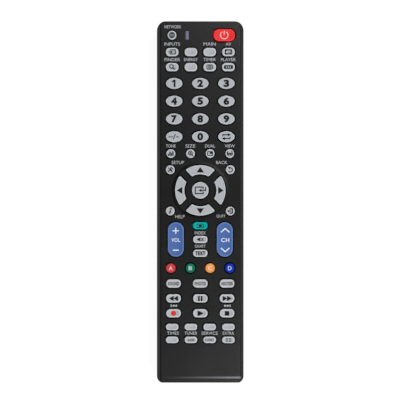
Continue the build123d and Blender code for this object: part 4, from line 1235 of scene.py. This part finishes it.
# By material slot, the maker of a finish and what it is given. Of a plain part that is the name, the colour,
# the roughness, the size and the strength of the grain, and the clear coat
INNER_FINISHES = {
    "case_black": (case_plastic, "textured case plastic"),
    # Keypad silicone: partly its own black, and partly painted shade, made darker to stand for the shade in
    # the gaps round the grey keys
    "keypad_silicone": (plain_part, "keypad silicone", (0.008, 0.008, 0.0085), 0.6, 0.3 * MM, 0.35),
    "board_phenolic": (board_laminate, "board laminate"),
    "chip_epoxy": (plain_part, "chip epoxy", (0.011, 0.011, 0.012), 0.16, 2.0 * MM, 0.2),
    "resonator_ceramic": (plain_part, "resonator glaze", (0.5, 0.2, 0.035), 0.22, 0.8 * MM, 0.2),
    "capacitor_sleeve": (plain_part, "capacitor sleeve", (0.018, 0.03, 0.1), 0.3, 0.8 * MM, 0.15),
    "ir_dark": (plain_part, "infrared window", (0.012, 0.004, 0.009), 0.07, 3.0 * MM, 0.04, 0.5),
    "led_clear": (clear_resin, "clear resin", (0.8, 0.84, 0.92), 0.04),
    "indicator_white": (plain_part, "indicator package", (0.78, 0.76, 0.62), 0.35, 0.2 * MM, 0.1),
    "lens_violet": (plain_part, "indicator lens", (0.2, 0.18, 0.28), 0.2, 0.5 * MM, 0.1, 0.4),
    "contact_nickel": (plated_metal, "nickel plate", (0.64, 0.62, 0.58), 0.28, (0.2, 1.0, 1.0)),
    "screw_zinc": (plated_metal, "zinc plate", (0.56, 0.56, 0.54), 0.34, (1.0, 1.0, 0.25)),
}


def inner_finish(slot):
    """The finish of a piece that keeps its shape from the frame."""
    build, *values = INNER_FINISHES[slot]
    return build(*values)


def key_finishes(node):
    """Rubber of a key's cap and of its flange. Under grey keys the flange is the black keypad silicone,
    darkened further as painted shade in the gaps; under coloured keys it is the cap's colour darkened, a
    painted shade of the gap.
    """
    slot = slot_of(node)
    label = slot.replace("_", " ")
    cap = key_rubber(label + " rubber", slot)
    if slot == "key_grey":
        return [cap, inner_finish("keypad_silicone")]
    # Painted shade: the flange of a coloured key is its cap's colour darkened, as it lies in shade down in
    # the gap
    dark = shade_of(getattr(bpy.context.scene.finish_colours, slot), 0.3)
    return [cap, plain_part(label + " skirt", dark, 0.6, 0.3 * MM, 0.35, specular=0.2)]


def ink(finish, ground=None):
    """Matte screen-printed ink; pale ink is so thin that the key below shows through it."""
    colours = bpy.context.scene.finish_colours
    base = getattr(colours, finish)
    name = finish
    if finish == PALE and ground:
        name = finish + " on " + ground
        through = {"key_sky_blue": 0.1}.get(ground, 0.35)
        base = tuple(high + through * (low - high) for low, high in zip(getattr(colours, ground), base))
    return plain_part(name, base, 0.5, 0.12 * MM, 0.2, specular=0.12, gloss=0.1, spread=2.0 * MM,
                      depth=0.01 * MM)


# Operators


class REMOTE_OT_number_keys(Operator):
    """Make the ten number keys, the dash key and the swap key"""
    bl_idname = "remote.number_keys"
    bl_label = "Number Keys"

    def execute(self, context):
        for node in (*[f"number_{i}_key" for i in range(10)], "dash_key", "swap_key"):
            key_piece(node, oval_outline, context.scene.key_sizes.oval_rim)
        return {"FINISHED"}


class REMOTE_OT_pill_keys(Operator):
    """Make the power key and all the other pill-shaped keys"""
    bl_idname = "remote.pill_keys"
    bl_label = "Pill Keys"

    def execute(self, context):
        for node in ("power_key", "source_row_keys", "search_row_keys", "menu_key", "mute_key", "list_key",
                     "media_row_keys", "rewind_key", "pause_key", "forward_key", "record_key", "play_key",
                     "stop_key", "guide_row_keys", "lower_row_keys"):
            key_piece(node, pill_outline, context.scene.key_sizes.pill_rim)
        return {"FINISHED"}


class REMOTE_OT_round_keys(Operator):
    """Make the round keys, plain and coloured, and the enter key"""
    bl_idname = "remote.round_keys"
    bl_label = "Round Keys"

    def execute(self, context):
        for node in ("globe_key", "picture_row_keys", "tools_return_keys", "info_key", "exit_key",
                     "enter_key", "red_key", "green_key", "orange_key", "blue_key"):
            key_piece(node, oval_outline, context.scene.key_sizes.round_rim)
        return {"FINISHED"}


class REMOTE_OT_direction_keys(Operator):
    """Make the four arc-shaped keys of the ring"""
    bl_idname = "remote.direction_keys"
    bl_label = "Direction Keys"

    def execute(self, context):
        for node, turn in DIRECTIONS:
            direction_piece(node, turn)
        return {"FINISHED"}


class REMOTE_OT_rockers(Operator):
    """Make the volume rocker and the channel rocker"""
    bl_idname = "remote.rockers"
    bl_label = "Rockers"

    def execute(self, context):
        for node in ("volume_rocker", "channel_rocker"):
            rocker_piece(node)
        return {"FINISHED"}


class REMOTE_OT_key_marks(Operator):
    """Print the digits, letters, words and signs on the keys"""
    bl_idname = "remote.key_marks"
    bl_label = "Key Marks"

    def execute(self, context):
        step = context.scene.key_sizes.field_step
        for node, (finish, *marks) in MARKS.items():
            print_ink = Ink()
            for cap, mark in zip(cap_tops(node), marks):
                if mark:
                    print_ink.start(cap.middle, cap.middle.z - step)
                    mark(print_ink)
            print_ink.piece(node + "_mark", body_of(node), slot_of(node), ink(finish, slot_of(node)))
        for node, turn in DIRECTIONS:
            print_ink = Ink()
            out = Matrix.Rotation(turn, 3, "Z") @ Vector((0.0, ARROW_RADIUS, 0.0))
            print_ink.start(pad_middle() + out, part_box(node)[1].z - step, turn=turn)
            up_mark(print_ink)
            print_ink.piece(node + "_mark", body_of(node), slot_of(node), ink(DARK))
        return {"FINISHED"}


class REMOTE_OT_face_words(Operator):
    """Print the silver words and skip marks on the face of the case"""
    bl_idname = "remote.face_words"
    bl_label = "Face Words"

    def execute(self, context):
        tall = context.scene.print_sizes.label_cap / MM
        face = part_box("indicator_lens")[1].z
        print_ink = Ink()
        for node, index, text, dx, dy, width in FACE_WORDS:
            print_ink.start(cap_tops(node)[index].middle, face, dx, dy)
            print_ink.words(text, 0.0, 0.0, width, tall, FACE_WEIGHT)
        for node, side, dx, dy in SKIP_MARKS:
            print_ink.start(cap_tops(node)[0].middle, face, dx, dy)
            skip_mark(print_ink, side)
        print_ink.piece("face_words", "case", "indicator_white", ink("ink_silver"))
        return {"FINISHED"}


SLEEVE, BAND, TIN = range(3)
CELL_STEPS = 64


class REMOTE_OT_cells(Operator):
    """Make the two battery cells: sleeve, band, rolled edges and nub"""
    bl_idname = "remote.cells"
    bl_label = "Battery Cells"

    def execute(self, context):
        sizes = context.scene.cell_sizes
        low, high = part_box("battery_cells")
        x = (high.x - low.x) / 2 - sizes.diameter / 2
        sleeve = plain_part("cell sleeve", (0.02, 0.021, 0.024), 0.2, 2.0 * MM, 0.05, coat=0.6)
        band = plated_metal("cell band", (0.72, 0.33, 0.13), 0.26, (1.0, 0.15, 1.0))
        tin = plated_metal("cell tin", (0.7, 0.7, 0.69), 0.24, (1.0, 1.0, 1.0))
        for name, side, nub, turn in (("battery_cell_left", -1, high.y, 0.0),
                                      ("battery_cell_right", 1, low.y, pi)):
            mesh = bmesh.new()
            self.turn_cell(mesh, sizes)
            place = Matrix.Translation((side * x, nub, (low.z + high.z) / 2)) @ Matrix.Rotation(turn, 4, "Z")
            bmesh.ops.transform(mesh, matrix=place, verts=mesh.verts)
            piece = add_piece(name, mesh, "case", [sleeve, band, tin], sharp=FINE_SHARP)
            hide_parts("battery_cells")
        return {"FINISHED"}

    def turn_cell(self, mesh, sizes):
        """Turns a cell's profile about the Y axis, its nub's end at the origin."""
        outer = sizes.diameter / 2
        nub = sizes.nub_diameter / 2
        shoulder = -sizes.nub_length
        base = -sizes.length
        band = -sizes.band_length
        inner = outer - 0.5 * MM
        profile = (
            (0.0, 0.0, TIN), (nub - 0.4 * MM, 0.0, TIN), (nub - 0.12 * MM, -0.12 * MM, TIN),
            (nub, -0.4 * MM, TIN), (nub, shoulder - 0.05 * MM, TIN),
            (nub + 0.7 * MM, shoulder - 0.05 * MM, TIN), (nub + 0.9 * MM, shoulder + 0.04 * MM, BAND),
            (inner, shoulder + 0.04 * MM, BAND), (outer - 0.15 * MM, shoulder - 0.1 * MM, BAND),
            (outer, shoulder - 0.45 * MM, BAND), (outer, band, BAND), (outer, band - 0.02 * MM, SLEEVE),
            (outer, base + 0.5 * MM, SLEEVE), (outer - 0.15 * MM, base + 0.15 * MM, SLEEVE),
            (inner, base, SLEEVE), (inner - 0.3 * MM, base, TIN), (inner - 0.5 * MM, base + 0.15 * MM, TIN),
            (0.0, base + 0.15 * MM, TIN),
        )
        verts = [mesh.verts.new((radius, y, 0.0)) for radius, y, _ in profile]
        edges = [mesh.edges.new(pair) for pair in zip(verts, verts[1:])]
        spin(mesh, verts + edges, 2 * pi, CELL_STEPS, axis=(0.0, 1.0, 0.0), merge=True)
        bmesh.ops.remove_doubles(mesh, verts=mesh.verts, dist=FINE_MERGE)
        runs = list(zip(profile, profile[1:]))
        for face in mesh.faces:
            middle = face.calc_center_median()
            radius = (middle.x ** 2 + middle.z ** 2) ** 0.5
            nearest = min(runs, key=lambda run: abs((run[0][1] + run[1][1]) / 2 - middle.y)
                          + abs((run[0][0] + run[1][0]) / 2 - radius))
            face.material_index = nearest[1][2]


COIL_WIRE_SEGMENTS = 12
COIL_TURN_STEPS = 40
PLATE_SEGMENTS = 32
# How far the middle of a coil's first turn lies off its plate, in parts of the wire's diameter
COIL_SEAT = 0.4


class REMOTE_OT_contacts(Operator):
    """Make the contacts that press on the cells: plates with their tails, and coils of round wire"""
    bl_idname = "remote.contacts"
    bl_label = "Contacts"

    def execute(self, context):
        sizes = context.scene.contact_sizes
        nickel = inner_finish("contact_nickel")
        low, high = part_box("battery_cells")
        z = (low.z + high.z) / 2
        low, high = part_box("spring_contact")
        x = (low.x + high.x) / 2
        y = high.y - sizes.thickness
        mesh = bmesh.new()
        self.plate(mesh, sizes, x, y, z, sizes.width)
        place = (Matrix.Translation((x, high.y - sizes.thickness / 2, (high.z + z) / 2))
                 @ Matrix.Diagonal((sizes.tail, sizes.thickness, high.z - z, 1.0)))
        bmesh.ops.create_cube(mesh, size=1.0, matrix=place)
        self.coil(mesh, sizes, x, y, z, -1)
        piece = add_piece("spring_contact_strip", mesh, "case", [nickel])
        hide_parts("spring_contact")
        low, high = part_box("double_contact")
        mesh = bmesh.new()
        self.plate(mesh, sizes, (low.x + high.x) / 2, low.y, z, high.x - low.x)
        self.coil(mesh, sizes, -x, low.y + sizes.thickness, z, 1)
        piece = add_piece("double_contact_strip", mesh, "case", [nickel])
        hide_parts("double_contact")
        return {"FINISHED"}

    def plate(self, mesh, sizes, x, y, z, width):
        """A flat strip that stands across the bay, its thickness from y towards the infrared end."""
        known = set(mesh.verts)
        face = box_outline(mesh, width, sizes.height, sizes.corner, PLATE_SEGMENTS)
        lift(mesh, face, sizes.thickness)
        made = [v for v in mesh.verts if v not in known]
        place = Matrix.Translation((x, y + sizes.thickness, z)) @ Matrix.Rotation(pi / 2, 4, "X")
        bmesh.ops.transform(mesh, matrix=place, verts=made)

    def coil(self, mesh, sizes, x, y, z, facing):
        """A conical coil of round wire that rises from a plate at y, its widest turn on the plate."""
        known = set(mesh.verts)
        start = Matrix.Translation((sizes.radius, 0.0, 0.0)) @ Matrix.Rotation(pi / 2, 4, "X")
        made = bmesh.ops.create_circle(mesh, cap_ends=True, segments=COIL_WIRE_SEGMENTS,
                                       radius=sizes.wire / 2, matrix=start)
        face = made["verts"][0].link_faces[0]
        steps = int(sizes.turns * COIL_TURN_STEPS)
        spin(mesh, made["verts"] + [face] + list(face.edges), 2 * pi * sizes.turns, steps,
             rise=sizes.rise / steps)
        made = [v for v in mesh.verts if v not in known]
        for v in made:
            v.co.xy -= v.co.xy.normalized() * (sizes.narrowing * v.co.z / sizes.rise)
        place = (Matrix.Translation((x, y + facing * COIL_SEAT * sizes.wire, z))
                 @ Matrix.Rotation(-facing * pi / 2, 4, "X"))
        bmesh.ops.transform(mesh, matrix=place, verts=made)


class REMOTE_OT_kept_finishes(Operator):
    """Give the case, the board and the other pieces from the frame their finishes"""
    bl_idname = "remote.kept_finishes"
    bl_label = "Case and Inner Finishes"

    def execute(self, context):
        for node, piece in frame["nodes"].items():
            if slot_of(node) in INNER_FINISHES:
                piece.material_slots[0].material = inner_finish(slot_of(node))
        return {"FINISHED"}


# In metres
FLOOR_HALF = 4.0
FLOOR_DROP = 0.02 * MM
LAMP_SIZE = 0.2
FOOT_LAMP = (0.2, -0.35, 0.7)
HEAD_LAMP = (0.2, 0.35, 0.7)
CAMERA_SHIFT = (-0.14 * MM, 1.08 * MM)
# In millimetres, as cameras give it
SENSOR_WIDTH = 36.0
# Reflections see white up to this height of their direction, and this part of the floor's own white
MIRRORED_HEIGHT = 0.2
MIRRORED_FLOOR = 0.45
PAPER = (0.1, 0.1, 0.1)


class REMOTE_OT_stage(Operator):
    """Set the pale floor, the lamps, the surrounding light and the camera"""
    bl_idname = "remote.stage"
    bl_label = "Stage"

    def execute(self, context):
        scene = context.scene
        sizes = scene.stage_sizes
        scene.view_settings.view_transform = "Standard"
        mesh = bmesh.new()
        bmesh.ops.create_grid(mesh, x_segments=1, y_segments=1, size=FLOOR_HALF,
                              matrix=Matrix.Translation((0.0, 0.0, -FLOOR_DROP)))
        data = bpy.data.meshes.new("floor")
        mesh.to_mesh(data)
        mesh.free()
        data.materials.append(self.floor_finish(sizes.floor_glow))
        floor = bpy.data.objects.new("floor", data)
        scene.collection.objects.link(floor)
        self.add_lamp("foot lamp", FOOT_LAMP, sizes.foot_power)
        self.add_lamp("head lamp", HEAD_LAMP, sizes.head_power)
        scene.world = self.backdrop(sizes.world_light)
        lens = bpy.data.cameras.new("camera")
        lens.lens = sizes.lens
        lens.sensor_width = SENSOR_WIDTH
        camera = bpy.data.objects.new("camera", lens)
        distance = sizes.view_width * sizes.lens / lens.sensor_width
        camera.location = (*CAMERA_SHIFT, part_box("indicator_lens")[1].z + distance)
        scene.collection.objects.link(camera)
        scene.camera = camera
        return {"FINISHED"}

    def add_lamp(self, name, place, power):
        """A square lamp that faces the middle of the case."""
        lamp = bpy.data.lights.new(name, "AREA")
        lamp.shape = "SQUARE"
        lamp.size = LAMP_SIZE
        lamp.energy = power
        holder = bpy.data.objects.new(name, lamp)
        holder.location = place
        holder.rotation_euler = Vector(place).to_track_quat("Z", "Y").to_euler()
        bpy.context.scene.collection.objects.link(holder)

    def backdrop(self, light):
        """Even light all round; to the camera white, and to reflections white up to a low height."""
        world = bpy.data.worlds.new("even light")
        world.use_nodes = True
        tree = world.node_tree
        ray = values_of(add_node(tree, "LightPath"))
        place = add_node(tree, "TexCoord").outputs["Generated"]
        height = add_node(tree, "SeparateXYZ", {0: place}).outputs["Z"]
        low = add_node(tree, "MapRange", {"Value": height, "From Min": MIRRORED_HEIGHT, "From Max": 0.0})
        mirrored = ray["Is Glossy Ray"] + ray["Is Transmission Ray"]
        seen = (ray["Is Camera Ray"] + mirrored * low.outputs["Result"]).clamped()
        background = tree.nodes["Background"]
        feed(background.inputs["Strength"], light + seen * (1.0 - light))
        feed(background.inputs["Color"], WHITE)
        return world

    def floor_finish(self, glow):
        """White paper that stays white to the camera and in reflections, keeps a soft shadow, and doesn't
        hide the object from below."""
        material, tree, shader = new_finish("white paper", Base_Color=PAPER, Roughness=0.9,
                                            Specular_IOR_Level=0.1)
        ray = values_of(add_node(tree, "LightPath"))
        seen = ray["Is Camera Ray"] + ray["Is Glossy Ray"] * MIRRORED_FLOOR
        seen = (seen + ray["Is Transmission Ray"]).clamped()
        glowing = add_node(tree, "Emission", {"Color": WHITE, "Strength": seen * glow})
        both = add_node(tree, "AddShader", {0: shader.outputs[0], 1: glowing.outputs[0]})
        back = Value(add_node(tree, "NewGeometry").outputs["Backfacing"]) * ray["Is Camera Ray"]
        clear = add_node(tree, "BsdfTransparent").outputs[0]
        below = add_node(tree, "MixShader", {0: back, 1: both.outputs[0], 2: clear})
        feed(tree.nodes["Material Output"].inputs["Surface"], below.outputs[0])
        return material


class REMOTE_PT_sidebar(Panel):
    """The remote control's pieces and their sizes"""
    bl_idname = "REMOTE_PT_sidebar"
    bl_label = "TV Remote Control"
    bl_space_type = "VIEW_3D"
    bl_region_type = "UI"
    bl_category = "Remote"

    def draw(self, context):
        layout = self.layout
        for operator in OPERATORS:
            layout.operator(operator.bl_idname)
        for group in SETTINGS:
            column = layout.column()
            settings = getattr(context.scene, group)
            for name in settings.bl_rna.properties.keys():
                if name not in ("rna_type", "name"):
                    column.prop(settings, name)


SETTINGS = {
    "key_sizes": KeySizes,
    "print_sizes": PrintSizes,
    "cell_sizes": CellSizes,
    "contact_sizes": ContactSizes,
    "finish_colours": Colours,
    "stage_sizes": StageSizes,
}

OPERATORS = (
    REMOTE_OT_number_keys,
    REMOTE_OT_pill_keys,
    REMOTE_OT_round_keys,
    REMOTE_OT_direction_keys,
    REMOTE_OT_rockers,
    REMOTE_OT_key_marks,
    REMOTE_OT_face_words,
    REMOTE_OT_cells,
    REMOTE_OT_contacts,
    REMOTE_OT_kept_finishes,
    REMOTE_OT_stage,
)


def register():
    """Registers the settings, the operators and the panel."""
    for name, settings in SETTINGS.items():
        bpy.utils.register_class(settings)
        setattr(bpy.types.Scene, name, PointerProperty(type=settings))
    for part in (*OPERATORS, REMOTE_PT_sidebar):
        bpy.utils.register_class(part)


def unregister():
    """Removes what register added."""
    for part in reversed((*OPERATORS, REMOTE_PT_sidebar)):
        bpy.utils.unregister_class(part)
    for name, settings in reversed(SETTINGS.items()):
        delattr(bpy.types.Scene, name)
        bpy.utils.unregister_class(settings)


def main():
    """Makes every piece and the stage in order."""
    register()
    bpy.ops.remote.number_keys()
    bpy.ops.remote.pill_keys()
    bpy.ops.remote.round_keys()
    bpy.ops.remote.direction_keys()
    bpy.ops.remote.rockers()
    bpy.ops.remote.key_marks()
    bpy.ops.remote.face_words()
    bpy.ops.remote.cells()
    bpy.ops.remote.contacts()
    bpy.ops.remote.kept_finishes()
    bpy.ops.remote.stage()


if __name__ == "__main__":
    main()
